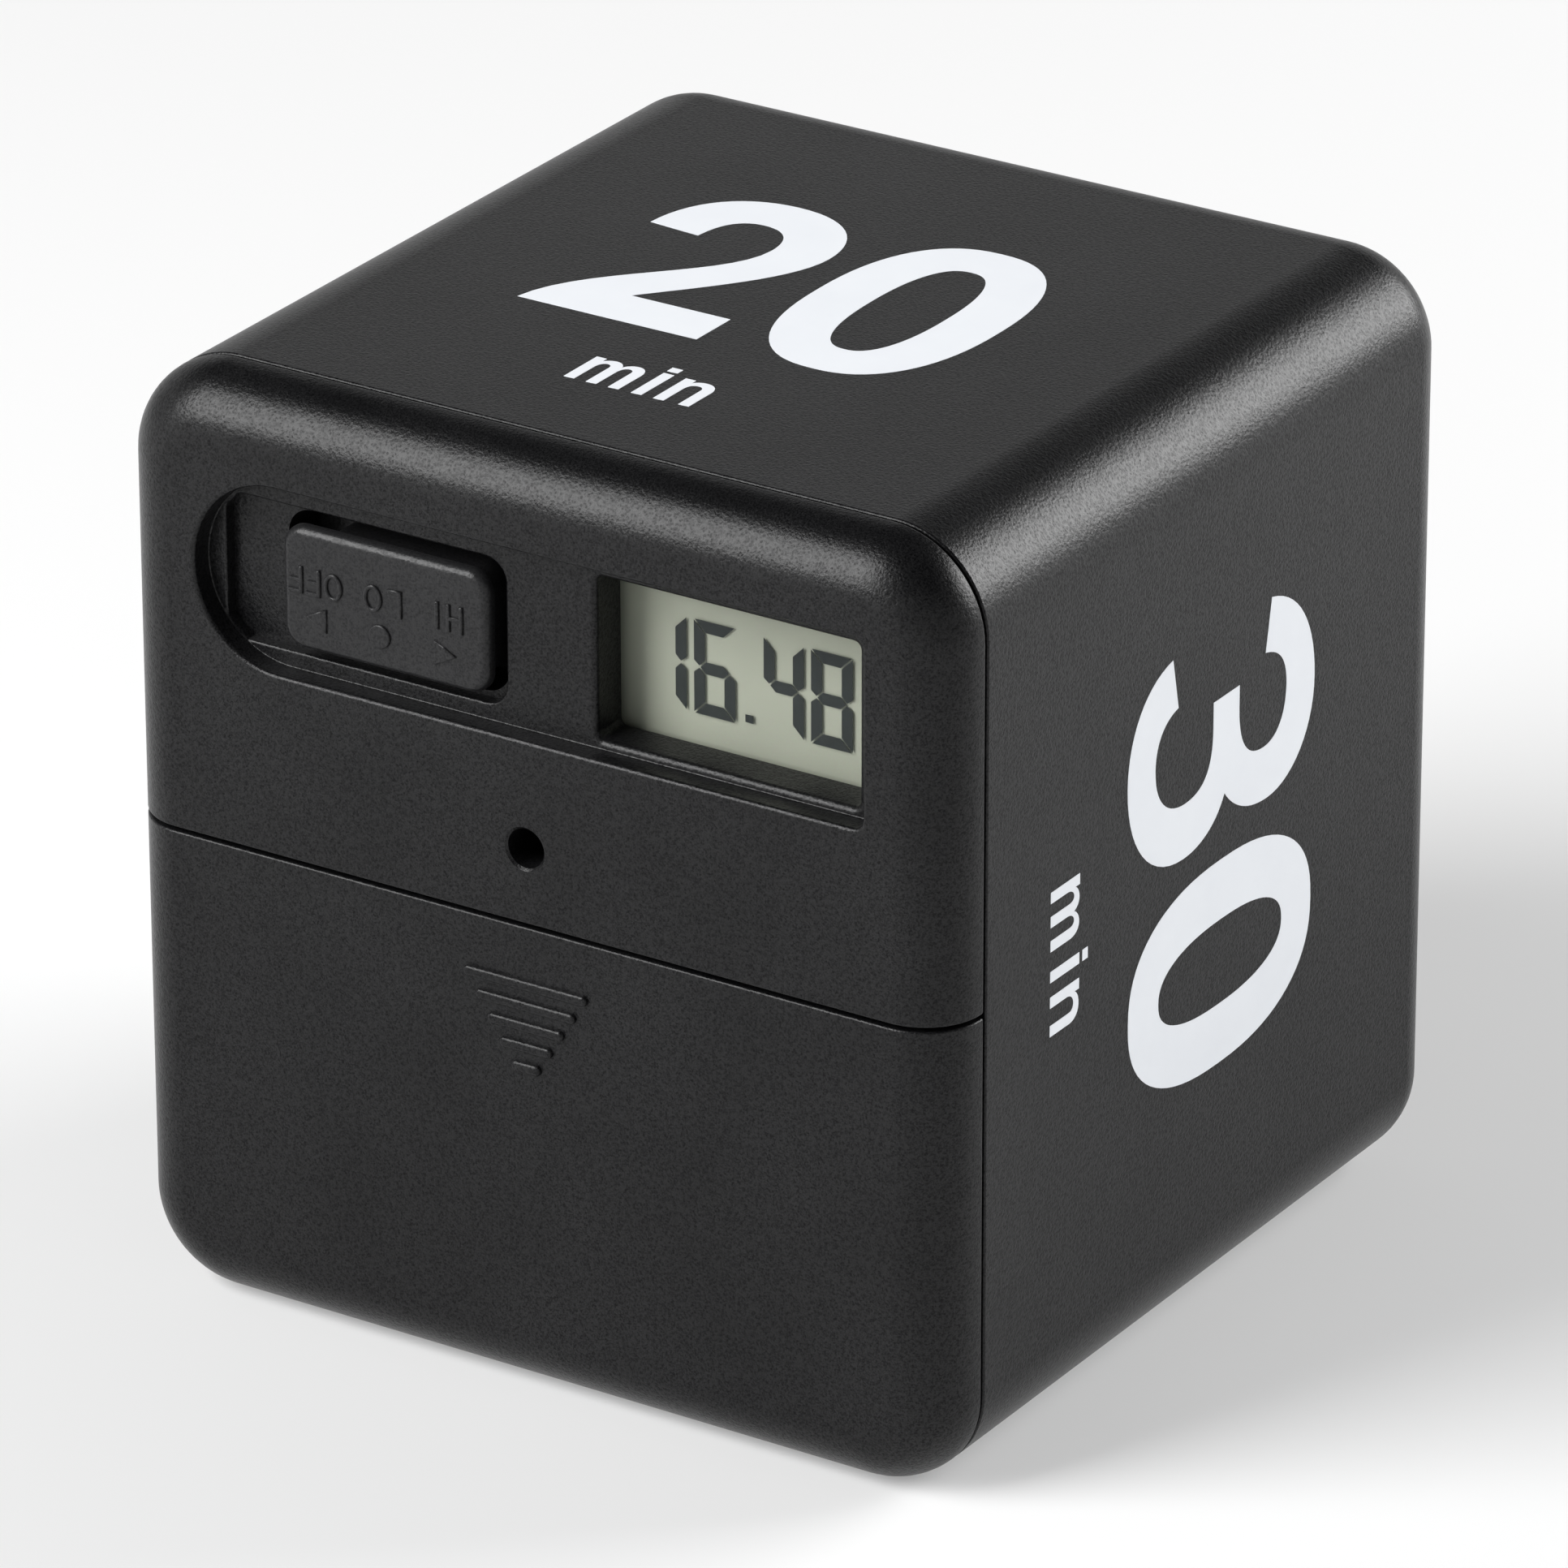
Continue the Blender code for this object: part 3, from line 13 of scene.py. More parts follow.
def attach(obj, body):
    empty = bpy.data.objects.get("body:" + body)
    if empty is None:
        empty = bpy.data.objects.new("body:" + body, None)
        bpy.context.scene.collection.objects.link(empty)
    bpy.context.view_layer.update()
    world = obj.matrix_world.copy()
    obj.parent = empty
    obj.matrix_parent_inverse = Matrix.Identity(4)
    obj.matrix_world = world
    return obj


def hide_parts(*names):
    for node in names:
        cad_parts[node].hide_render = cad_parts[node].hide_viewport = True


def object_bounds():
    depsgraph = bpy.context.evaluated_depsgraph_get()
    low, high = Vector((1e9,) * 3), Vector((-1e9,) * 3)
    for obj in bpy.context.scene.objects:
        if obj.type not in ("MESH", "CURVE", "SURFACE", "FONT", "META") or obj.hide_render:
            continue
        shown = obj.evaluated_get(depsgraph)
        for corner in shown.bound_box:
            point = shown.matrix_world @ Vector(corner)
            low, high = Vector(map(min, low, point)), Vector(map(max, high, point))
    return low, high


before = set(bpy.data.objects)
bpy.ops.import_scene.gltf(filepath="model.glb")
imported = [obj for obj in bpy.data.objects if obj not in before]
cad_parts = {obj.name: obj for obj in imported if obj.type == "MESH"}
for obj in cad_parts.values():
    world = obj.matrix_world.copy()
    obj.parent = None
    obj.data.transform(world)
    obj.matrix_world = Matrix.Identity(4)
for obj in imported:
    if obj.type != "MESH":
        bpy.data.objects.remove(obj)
cad_low, cad_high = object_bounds()

MM = 0.001

# Camera
# A long lens from a little over half a metre, above the front right corner of the timer. It
# comes first, because every piece is compared with the photograph through it.

CAMERA_PLACE = Vector((347.58, -541.51, 324.36)) * MM
CAMERA_RIGHT = Vector((0.8416, 0.5401, -0.00187))
CAMERA_UP = Vector((-0.22324, 0.35101, 0.90937))
CAMERA_BACK = Vector((0.49181, -0.76491, 0.41598))


def add_object(name, data):
    """New object of the scene that shows this data."""
    piece = bpy.data.objects.new(name, data)
    bpy.context.scene.collection.objects.link(piece)
    return piece


camera = add_object("camera", bpy.data.cameras.new("camera"))
camera.data.lens = 259.72
camera.data.sensor_width = 36.0
camera.data.clip_start = 10.0 * MM
camera.data.clip_end = 20000.0 * MM
turn = Matrix((CAMERA_RIGHT, CAMERA_UP, CAMERA_BACK)).transposed()
camera.matrix_world = Matrix.Translation(CAMERA_PLACE) @ turn.to_4x4()
bpy.context.scene.camera = camera

# Rear shell
# The five-sided housing: one injection moulding in black ABS, with a fine leather-like grain
# from its spark-eroded mould. Four posts on its back wall take the screws, and two grooves and
# two slots inside its rim take the snaps of the front panel and the tongues of the tray.

PRINT_RISE = 0.02
GRIP_RISE = 0.3
BODY_WIDTH = 60.0
BODY_DEPTH = 60.0
BODY_HEIGHT = 62.7
EDGE_ROUND = 6.5
FRONT_ROUND = 4.0
BACK_ROUND = 4.4
EDGE_STEPS = 20
RIM_STEPS = 14
WALL = 2.0
FIT = 0.3
SEAM_DEPTH = 4.35
SEAM_GAP = 0.25
SEAM_ROUND = 0.16
SEAM_STEPS = 3
FRONT_Y = cad_low.y / MM + GRIP_RISE
SHELL_FRONT = SEAM_DEPTH + SEAM_GAP / 2
POST_HEIGHT = 30.05
POST_PLACES = (-21.5, -12.0, 12.0, 21.5)
POST_RADIUS = 2.1
POST_FRONT = 6.925
POST_WEB_START = 36.0
POST_WEB_HALF = 0.6
PILOT_RADIUS = 1.15
PILOT_END = 13.225
SNAP_X = 13.0
GROOVE_HALF = 3.3
GROOVE_DEPTH = (5.425, 6.825)
GROOVE_HEIGHT = (BODY_HEIGHT - 3.0, BODY_HEIGHT - 1.3)
SLOT_X = 16.0
SLOT_HALF = 2.3
SLOT_DEPTH = (4.925, 6.725)
SLOT_HEIGHT = (0.9, 3.0)
TINY = 0.000002


def place(x, depth, height):
    """Point of the frame, in metres."""
    return Vector((x, FRONT_Y + depth, height)) * MM


def around(middle, half):
    """Both ends of what reaches equally far to either side."""
    return (middle - half, middle + half)


def widened(span, margin):
    return (span[0] - margin, span[1] + margin)


def select_only(piece):
    bpy.ops.object.select_all(action="DESELECT")
    piece.select_set(True)
    bpy.context.view_layer.objects.active = piece


def settle(piece, name):
    """Names a new primitive and puts its place into its mesh."""
    piece.name = name
    piece.data.name = name
    bpy.ops.object.transform_apply()
    return piece


def block(name, x, depth, height):
    """Box between two places along each direction."""
    low = place(x[0], depth[0], height[0])
    high = place(x[1], depth[1], height[1])
    bpy.ops.mesh.primitive_cube_add(size=1.0, location=(low + high) / 2, scale=high - low)
    return settle(bpy.context.object, name)


def rod(name, x, height, radius, depth, sides=32, end_radius=None):
    """Round bar or cone that runs backwards between two depths."""
    length = (depth[1] - depth[0]) * MM
    far = (radius if end_radius is None else end_radius) * MM
    bpy.ops.mesh.primitive_cone_add(vertices=sides, radius1=radius * MM, radius2=far, depth=length,
                                    location=place(x, (depth[0] + depth[1]) / 2, height),
                                    rotation=(-math.pi / 2, 0.0, 0.0))
    return settle(bpy.context.object, name)


def pick_edges(piece, wanted):
    """Opens a piece in edit mode with the edges selected whose two ends wanted() agrees to."""
    select_only(piece)
    bpy.ops.object.mode_set(mode="EDIT")
    bpy.ops.mesh.select_mode(type="EDGE")
    bpy.ops.mesh.select_all(action="DESELECT")
    mesh = bmesh.from_edit_mesh(piece.data)
    for edge in mesh.edges:
        if wanted(edge.verts[0].co, edge.verts[1].co):
            edge.select_set(True)
    bmesh.update_edit_mesh(piece.data)


def round_edges(piece, wanted, radius, steps):
    pick_edges(piece, wanted)
    bpy.ops.mesh.bevel(offset=radius * MM, segments=steps, affect="EDGES")
    bpy.ops.object.mode_set(mode="OBJECT")


def runs_backwards(a, b):
    return abs(a.x - b.x) < TINY and abs(a.z - b.z) < TINY and abs(a.y - b.y) > TINY


def on_plane(axis, level):
    """Agrees to edges that lie in a plane across an axis, at this level in metres."""
    return lambda a, b: abs(a[axis] - level) < TINY and abs(b[axis] - level) < TINY


def at_depth(depth):
    return on_plane(1, (FRONT_Y + depth) * MM)


def at_height(height):
    return on_plane(2, height * MM)


def either(first, second):
    return lambda a, b: first(a, b) or second(a, b)


def slice_off(piece, point, outwards):
    """Cuts a piece flat and throws away what lies outwards of the point."""
    select_only(piece)
    bpy.ops.object.mode_set(mode="EDIT")
    bpy.ops.mesh.select_all(action="SELECT")
    bpy.ops.mesh.bisect(plane_co=point, plane_no=outwards, use_fill=True, clear_outer=True)
    bpy.ops.object.mode_set(mode="OBJECT")


def apply_modifier(piece, kind, **settings):
    """Changes the mesh of a piece by one modifier with these settings."""
    select_only(piece)
    modifier = piece.modifiers.new("change", kind)
    for name, value in settings.items():
        setattr(modifier, name, value)
    bpy.ops.object.modifier_apply(modifier=modifier.name)


def combine(piece, tool, operation):
    """Adds, cuts or intersects a tool and uses the tool up."""
    apply_modifier(piece, "BOOLEAN", operation=operation, solver="EXACT", object=tool)
    bpy.data.objects.remove(tool, do_unlink=True)


def cut(piece, *tools):
    for tool in tools:
        combine(piece, tool, "DIFFERENCE")


def join(piece, *tools):
    for tool in tools:
        combine(piece, tool, "UNION")


def smooth(piece, angle=32.0):
    """Shades the rounds smooth and keeps the flat faces and sharp corners crisp."""
    select_only(piece)
    bpy.ops.object.shade_smooth_by_angle(angle=math.radians(angle))
    apply_modifier(piece, "WEIGHTED_NORMAL", keep_sharp=True)


def rounded_block(name, x, depth, height, corner, steps):
    """Box whose four edges that run backwards are rounded."""
    piece = block(name, x, depth, height)
    round_edges(piece, runs_backwards, corner, steps)
    return piece


def body_form(name, inset, depth, front_round=0.0, back_round=0.0):
    """The timer's rounded block, drawn in by inset at its sides, top and bottom."""
    form = rounded_block(name, around(0.0, BODY_WIDTH / 2 - inset), depth,
                         (inset, BODY_HEIGHT - inset), EDGE_ROUND - inset, EDGE_STEPS)
    for end, radius in zip(depth, (front_round, back_round)):
        if radius > 0.0:
            round_edges(form, at_depth(end), radius, RIM_STEPS)
    return form


def linear(code):
    """Linear colour of an sRGB hex code."""
    parts = [int(code[i:i + 2], 16) / 255 for i in (0, 2, 4)]
    return (*[c / 12.92 if c <= 0.04045 else ((c + 0.055) / 1.055) ** 2.4 for c in parts], 1.0)


def per_mm(size):
    """Scale of a pattern whose features are this many millimetres wide."""
    return 1.0 / (size * MM)


def new_material(name, roughness, specular=0.5, metallic=0.0):
    """Material with a principled shader, and its node tree, shader and object coordinates."""
    material = bpy.data.materials.new(name)
    material.use_nodes = True
    shader = material.node_tree.nodes["Principled BSDF"]
    shader.inputs["Roughness"].default_value = roughness
    shader.inputs["Specular IOR Level"].default_value = specular
    shader.inputs["Metallic"].default_value = metallic
    place_node = material.node_tree.nodes.new("ShaderNodeTexCoord")
    return material, material.node_tree, shader, place_node.outputs["Object"]


def add_node(tree, kind, inputs, **settings):
    """Adds a node with its settings, its values and what feeds it."""
    node = tree.nodes.new(kind)
    for name, value in settings.items():
        setattr(node, name, value)
    for name, value in inputs.items():
        if isinstance(value, bpy.types.NodeSocket):
            tree.links.new(value, node.inputs[name])
        else:
            node.inputs[name].default_value = value
    return node


def feed(tree, shader, values):
    """Links what nodes give to the named sockets of a shader."""
    for name, value in values.items():
        tree.links.new(value, shader.inputs[name])


def noise(tree, spot, width, detail=3.0, output="Fac"):
    """Noise whose patches are this many millimetres wide."""
    node = add_node(tree, "ShaderNodeTexNoise", {"Vector": spot, "Scale": per_mm(width),
                                                 "Detail": detail})
    return node.outputs[output]


def mix(tree, share, first, second, blend="MIX"):
    """Mixes two colours, each a hex code or what a node gives."""
    first, second = [linear(colour) if isinstance(colour, str) else colour
                     for colour in (first, second)]
    node = add_node(tree, "ShaderNodeMixRGB", {"Fac": share, "Color1": first, "Color2": second},
                    blend_type=blend)
    return node.outputs["Color"]


def spread(tree, value, given, wanted=(0.0, 1.0), way="LINEAR"):
    """Maps one range of values onto another."""
    node = add_node(tree, "ShaderNodeMapRange",
                    {"Value": value, "From Min": given[0], "From Max": given[1],
                     "To Min": wanted[0], "To Max": wanted[1]}, interpolation_type=way)
    return node.outputs["Result"]


def maths(tree, operation, first, second):
    return add_node(tree, "ShaderNodeMath", {0: first, 1: second}, operation=operation).outputs[0]


def raise_grain(tree, shader, height, rise, strength=0.5):
    """Roughens a surface by a pattern of heights, this many millimetres high."""
    node = add_node(tree, "ShaderNodeBump", {"Height": height, "Strength": strength,
                                             "Distance": rise * MM})
    feed(tree, shader, {"Normal": node.outputs["Normal"]})


def moulded_black_abs(name, dark, pale, grain_width, grain_rise, roughness):
    """ABS from a spark-eroded mould: the grain breaks up its sheen, the skin tone drifts, and painted
    shade darkens the low pits of the grain and lowers their specular level.
    """
    material, tree, shader, spot = new_material(name, roughness)
    cells = add_node(tree, "ShaderNodeTexVoronoi", {"Vector": spot, "Scale": per_mm(grain_width)},
                     feature="SMOOTH_F1")
    pits = noise(tree, spot, grain_width / 2, 2.0)
    # Painted shade: the low pits of the grain take the dark colour, and the slow noise adds a drift
    # of tone over the raised grain.
    painted_pit_shade = spread(tree, pits, (0.35, 0.65))
    drift = maths(tree, "MULTIPLY", painted_pit_shade, noise(tree, spot, 9.0))
    height = maths(tree, "ADD", cells.outputs["Distance"], pits)
    feed(tree, shader, {
        "Base Color": mix(tree, drift, dark, pale),
        "Roughness": spread(tree, pits, (0.0, 1.0), (roughness - 0.05, roughness + 0.06)),
        "Specular IOR Level": spread(tree, height, (0.55, 1.1), (0.13, 0.275))})
    raise_grain(tree, shader, height, grain_rise, 1.0)
    return material


def dress(piece, material, body, slot, *nodes):
    """Gives a finished piece its material and its body, and hides the CAD nodes it stands for. The
    slot is not used.
    """
    piece.data.materials.clear()
    piece.data.materials.append(material)
    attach(piece, body)
    if nodes:
        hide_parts(*nodes)


GRAINED_ABS = moulded_black_abs("black_abs_moulded_grained", "060607", "222223", 0.21, 0.0165, 0.31)

# The printed ink fills the last of the size, so the mouldings are drawn in by its thickness.
shell = body_form("rear_shell_moulding", PRINT_RISE, (SHELL_FRONT, BODY_DEPTH),
                  back_round=BACK_ROUND)
round_edges(shell, at_depth(SHELL_FRONT), SEAM_ROUND, SEAM_STEPS)
cut(shell, body_form("hollow", WALL, (SHELL_FRONT - WALL, BODY_DEPTH - WALL),
                     back_round=BACK_ROUND - WALL))
in_back_wall = BODY_DEPTH - WALL / 2
join(shell, block("web", (POST_PLACES[0], POST_PLACES[3]), (POST_WEB_START, in_back_wall),
                  around(POST_HEIGHT, POST_WEB_HALF)))
for x in POST_PLACES:
    join(shell, rod("post", x, POST_HEIGHT, POST_RADIUS, (POST_FRONT, in_back_wall)))
for x in POST_PLACES:
    cut(shell, rod("pilot", x, POST_HEIGHT, PILOT_RADIUS, (POST_FRONT - FIT, PILOT_END)))
for side in (-1, 1):
    cut(shell, block("groove", around(side * SNAP_X, GROOVE_HALF), GROOVE_DEPTH, GROOVE_HEIGHT))
    cut(shell, block("slot", around(side * SLOT_X, SLOT_HALF), SLOT_DEPTH, SLOT_HEIGHT))
smooth(shell)
dress(shell, GRAINED_ABS, "housing", "black_abs", "rear_shell")

# Front panel
# The upper half of the front, moulded in the same grained ABS. A sunk band holds the switch
# pocket and the display window, and a snap lip, three board bosses, a ring round the sound
# hole and two screw lugs are moulded on its back.

SPLIT_HEIGHT = 32.1
PANEL_BOTTOM = SPLIT_HEIGHT + SEAM_GAP / 2
PANEL_BACK = SEAM_DEPTH - SEAM_GAP / 2
PANEL_SILL = 1.5
RECESS_WIDTH = 48.1
RECESS_HEIGHT = 12.3
RECESS_CENTRE = BODY_HEIGHT - 12.2
RECESS_DEPTH = 1.55
RECESS_CORNER = 0.75
RECESS_EDGE = 0.28
RECESS_FILLET = 0.1
RECESS_END_FLAT = 0.05
CONTROL_CENTRE = RECESS_CENTRE - 0.26
POCKET_X = (-22.7, -2.2)
POCKET_HEIGHT = 9.6
POCKET_DEPTH = 2.4
POCKET_BACK = 5.4
POCKET_CORNER = 1.5
POCKET_EDGE = 0.18
POCKET_WALL = 1.2
WELL_X = (-18.6, -2.5)
WELL_HEIGHT = 8.85
WELL_CORNER = 1.75
WINDOW_X = (4.24, 22.89)
WINDOW_HEIGHT = 10.76
WINDOW_DRAFT = 0.18
WINDOW_BACK = 4.05
WINDOW_EDGE = 0.4
WINDOW_CORNER = 0.5
SOUND_HOLE_HEIGHT = 37.2
SOUND_HOLE_RADIUS = 1.3
SOUND_HOLE_CHAMFER = 0.16
SOUND_RING_WIDTH = 1.0
SOUND_RING_BACK = 4.7
BOARD_FRONT = 9.5
BOARD_BOSSES = ((-23.5, 38.5), (23.5, 38.5), (-1.2, 58.3))
BOSS_RADIUS = 2.0
LIP_INSET = 2.3
LIP_THICK = 1.0
LIP_END = 6.825
SNAP_HALF = 3.0
SNAP_DEPTH = (LIP_END - 1.1, LIP_END - 0.3)
SNAP_HEIGHT = (BODY_HEIGHT - LIP_INSET - 0.5, BODY_HEIGHT - LIP_INSET + 0.7)
LUG_X = 12.0
LUG_HALF = 4.0
LUG_DEPTH = (4.625, 6.625)
LUG_LOW = 27.95
LUG_ROOT_BACK = 6.475
LUG_ROOT_STEP = 0.1
LUG_HOLE_FRONT = 4.3
LUG_HOLE_RADIUS = 1.2
HEAD_HOLE_RADIUS = 2.1
HEAD_HOLE_BACK = 5.925
ROUND_SIDES = 48
RIM_MARGIN = 0.05
UP = (0.0, 0.0, 1.0)
DOWN = (0.0, 0.0, -1.0)


def centred(height):
    """Heights of a feature on the switch and window line."""
    return around(CONTROL_CENTRE, height / 2)


def recess_form(name, depth, inset=0.0):
    """Block of the sunk band: a half-round left end and small corners on the right."""
    half_width = RECESS_WIDTH / 2 - inset
    half_height = RECESS_HEIGHT / 2 - inset
    form = block(name, around(0.0, half_width), (-WALL, depth), around(RECESS_CENTRE, half_height))
    round_edges(form, lambda a, b: runs_backwards(a, b) and a.x < 0.0,
                half_height - RECESS_END_FLAT, 24)
    round_edges(form, lambda a, b: runs_backwards(a, b) and a.x > 0.0, RECESS_CORNER, 8)
    return form


def rim_edges(depth, x, height):
    """Edges of an opening in the face at this depth, between these places across and up."""
    flat = at_depth(depth)
    left, right = widened(x, RIM_MARGIN)
    low, high = widened(height, RIM_MARGIN)
    return lambda a, b: flat(a, b) and all(
        left * MM < end.x < right * MM and low * MM < end.z < high * MM for end in (a, b))


def front_half(name, edge, wall_edge, outwards):
    """Upper or lower half of the rounded front, hollow up to the wall along its flat edge."""
    half = body_form(name, PRINT_RISE, (0.0, PANEL_BACK), front_round=FRONT_ROUND)
    slice_off(half, place(0.0, 0.0, edge), outwards)
    round_edges(half, either(at_height(edge), at_depth(PANEL_BACK)), SEAM_ROUND, SEAM_STEPS)
    hollow = body_form("hollow", WALL, (WALL, SEAM_DEPTH + WALL), front_round=FRONT_ROUND - WALL)
    slice_off(hollow, place(0.0, 0.0, wall_edge), outwards)
    cut(half, hollow)
    return half


panel = front_half("front_panel_moulding", PANEL_BOTTOM, PANEL_BOTTOM + PANEL_SILL, DOWN)
lip = body_form("lip", LIP_INSET, (WALL * 1.5, LIP_END))
slice_off(lip, place(0.0, 0.0, PANEL_BOTTOM + PANEL_SILL / 2), DOWN)
cut(lip, body_form("lip_inside", LIP_INSET + LIP_THICK, (0.0, BODY_DEPTH / 2)))
join(panel, lip)
for side in (-1, 1):
    join(panel, block("snap", around(side * SNAP_X, SNAP_HALF), SNAP_DEPTH, SNAP_HEIGHT))
for x, back, height in ((POCKET_X, POCKET_BACK, POCKET_HEIGHT),
                        (WINDOW_X, WINDOW_BACK, WINDOW_HEIGHT)):
    join(panel, block("walls", widened(x, POCKET_WALL), (RECESS_DEPTH / 2, back),
                      centred(height + 2 * POCKET_WALL)))
join(panel, block("shelf", around(0.0, RECESS_WIDTH / 2 + POCKET_WALL),
                  (RECESS_DEPTH / 2, RECESS_DEPTH + POCKET_WALL),
                  around(RECESS_CENTRE, RECESS_HEIGHT / 2 + POCKET_WALL)))
join(panel, rod("sound_ring", 0.0, SOUND_HOLE_HEIGHT, SOUND_HOLE_RADIUS + SOUND_RING_WIDTH,
                (WALL / 2, SOUND_RING_BACK), ROUND_SIDES))
for x, height in BOARD_BOSSES:
    join(panel, rod("boss", x, height, BOSS_RADIUS, (WALL / 2, BOARD_FRONT - FIT)))
for side in (-1, 1):
    span = around(side * LUG_X, LUG_HALF)
    join(panel, block("lug", span, LUG_DEPTH, (LUG_LOW, PANEL_BOTTOM + PANEL_SILL)))
    join(panel, block("lug_root", span, (WALL + FIT, LUG_ROOT_BACK),
                      widened((PANEL_BOTTOM, PANEL_BOTTOM + PANEL_SILL), -LUG_ROOT_STEP)))

recess = recess_form("recess", RECESS_DEPTH)
round_edges(recess, at_depth(RECESS_DEPTH), RECESS_FILLET, 3)
cut(panel, recess)
round_edges(panel, rim_edges(0.0, around(0.0, RECESS_WIDTH / 2),
                             around(RECESS_CENTRE, RECESS_HEIGHT / 2)), RECESS_EDGE, 4)
pocket = rounded_block("pocket", POCKET_X, (RECESS_DEPTH - FIT, POCKET_DEPTH),
                       centred(POCKET_HEIGHT), POCKET_CORNER, 10)
combine(pocket, recess_form("pocket_limit", POCKET_DEPTH + WALL, RECESS_FILLET), "INTERSECT")
cut(panel, pocket)
cut(panel, rounded_block("well", WELL_X, (POCKET_DEPTH - FIT, POCKET_BACK + FIT),
                         centred(WELL_HEIGHT), WELL_CORNER, 10))
window = rounded_block("window", WINDOW_X, (RECESS_DEPTH - FIT, WINDOW_BACK + FIT),
                       centred(WINDOW_HEIGHT), WINDOW_CORNER, 6)
pick_edges(window, at_depth(WINDOW_BACK + FIT))
window_middle = place((WINDOW_X[0] + WINDOW_X[1]) / 2, WINDOW_BACK + FIT, CONTROL_CENTRE)
bpy.ops.transform.resize(value=(1.0 - 2 * WINDOW_DRAFT / (WINDOW_X[1] - WINDOW_X[0]), 1.0,
                                1.0 - 2 * WINDOW_DRAFT / WINDOW_HEIGHT),
                         center_override=window_middle)
bpy.ops.object.mode_set(mode="OBJECT")
cut(panel, window)
round_edges(panel, rim_edges(RECESS_DEPTH, WINDOW_X, centred(WINDOW_HEIGHT)), WINDOW_EDGE, 6)
round_edges(panel, rim_edges(RECESS_DEPTH, POCKET_X, centred(POCKET_HEIGHT)), POCKET_EDGE, 3)
cut(panel, rod("sound_hole", 0.0, SOUND_HOLE_HEIGHT, SOUND_HOLE_RADIUS, (-FIT, BOARD_FRONT),
               ROUND_SIDES))
cut(panel, rod("sound_chamfer", 0.0, SOUND_HOLE_HEIGHT, SOUND_HOLE_RADIUS + 2 * SOUND_HOLE_CHAMFER,
               around(0.0, SOUND_HOLE_CHAMFER), ROUND_SIDES, SOUND_HOLE_RADIUS))
for x, height in BOARD_BOSSES:
    cut(panel, rod("pilot", x, height, PILOT_RADIUS, (WALL + FIT, BOARD_FRONT)))
for side in (-1, 1):
    cut(panel, rod("lug_hole", side * LUG_X, POST_HEIGHT, LUG_HOLE_RADIUS,
                   (LUG_HOLE_FRONT, POST_FRONT)))
    cut(panel, rod("head_hole", side * LUG_X, POST_HEIGHT, HEAD_HOLE_RADIUS,
                   (LUG_HOLE_FRONT, HEAD_HOLE_BACK)))
smooth(panel)
dress(panel, GRAINED_ABS, "housing", "black_abs", "front_panel")

# Battery door
# The lower half of the front, moulded in the same ABS. It slides down off its rails, held by
# two inward lips, and five grip bars that get shorter downwards give the thumb a hold.

DOOR_TOP = SPLIT_HEIGHT - SEAM_GAP / 2
DOOR_LIP_X = (26.7, 29.0)
DOOR_LIP_DEPTH = (3.65, PANEL_BACK - 0.1)
DOOR_LIP_HEIGHT = (8.0, 28.0)
DOOR_RIB_HALF = 24.5
DOOR_RIB_BACK = 4.025
DOOR_RIB_HEIGHT = (DOOR_TOP - 1.5, DOOR_TOP - 0.1)
GRIP_COUNT = 5
GRIP_TOP = 28.15
GRIP_PITCH = 1.39
GRIP_WIDTH = 8.95
GRIP_SHRINK = 1.72
GRIP_HEIGHT = 0.7
GRIP_CORNER = 0.315
GRIP_EDGE = 0.2


def mirrored(side, start, end):
    """Places across the timer, on its right for side 1 and mirrored for side -1."""
    return tuple(sorted((side * start, side * end)))


door = front_half("battery_door_moulding", DOOR_TOP, SPLIT_HEIGHT + WALL, UP)
for side in (-1, 1):
    join(door, block("lip", mirrored(side, *DOOR_LIP_X), DOOR_LIP_DEPTH, DOOR_LIP_HEIGHT))
join(door, block("rib", around(0.0, DOOR_RIB_HALF), (WALL / 2, DOOR_RIB_BACK), DOOR_RIB_HEIGHT))
for index in range(GRIP_COUNT):
    half = (GRIP_WIDTH - index * GRIP_SHRINK) / 2
    grip = rounded_block("grip_bar", around(0.0, half), (-GRIP_RISE, WALL / 2),
                         around(GRIP_TOP - index * GRIP_PITCH, GRIP_HEIGHT / 2), GRIP_CORNER, 6)
    round_edges(grip, at_depth(-GRIP_RISE), GRIP_EDGE, 3)
    join(door, grip)
smooth(door)
dress(door, GRAINED_ABS, "door", "black_abs", "battery_door")

# Switch cap
# The sliding button of the volume switch: a small hollow ABS moulding with a thin face plate, a
# socket for the lever and a flange behind the pocket floor that keeps the hole shut as it travels.
# Its raised words and marks read the right way up with the timer turned over.

CAP_X = (-17.95, -2.9)
CAP_HEIGHT = 8.1
CAP_FACE = 0.6
CAP_CORNER = 1.5
CAP_EDGE = 0.6
CAP_STEP = 1.4
CAP_ROOT_HEIGHT = 6.9
CAP_ROOT_INSET = (1.95, 0.5)
CAP_ROOT_CORNER = 1.5
CAP_ROOT_BACK = 6.1
CAP_FLANGE = 1.1
CAP_TRAVEL = 2.4
FLANGE_DEPTH = (5.7, 6.5)
CAP_WALL = 1.2
SOCKET_X = (-11.4, -9.2)
SOCKET_FRONT = 4.5
SOCKET_HEIGHT = 2.0
CAP_HOLLOW_BACK = 6.8
MARK_RISE = 0.16
MARK_SOFT = 0.1
MARK_RADIUS = 0.78
STROKE = 0.27
TALL = 1.8
BAR_FOOT = 0.78
WORD_FOOT = 49.98
O_HALF = 0.68
H_WIDTH = 1.2


def convert(name, curve):
    """Mesh of a curve, as a piece of its own."""
    piece = add_object(name, curve)
    select_only(piece)
    bpy.ops.object.convert(target="MESH")
    return piece


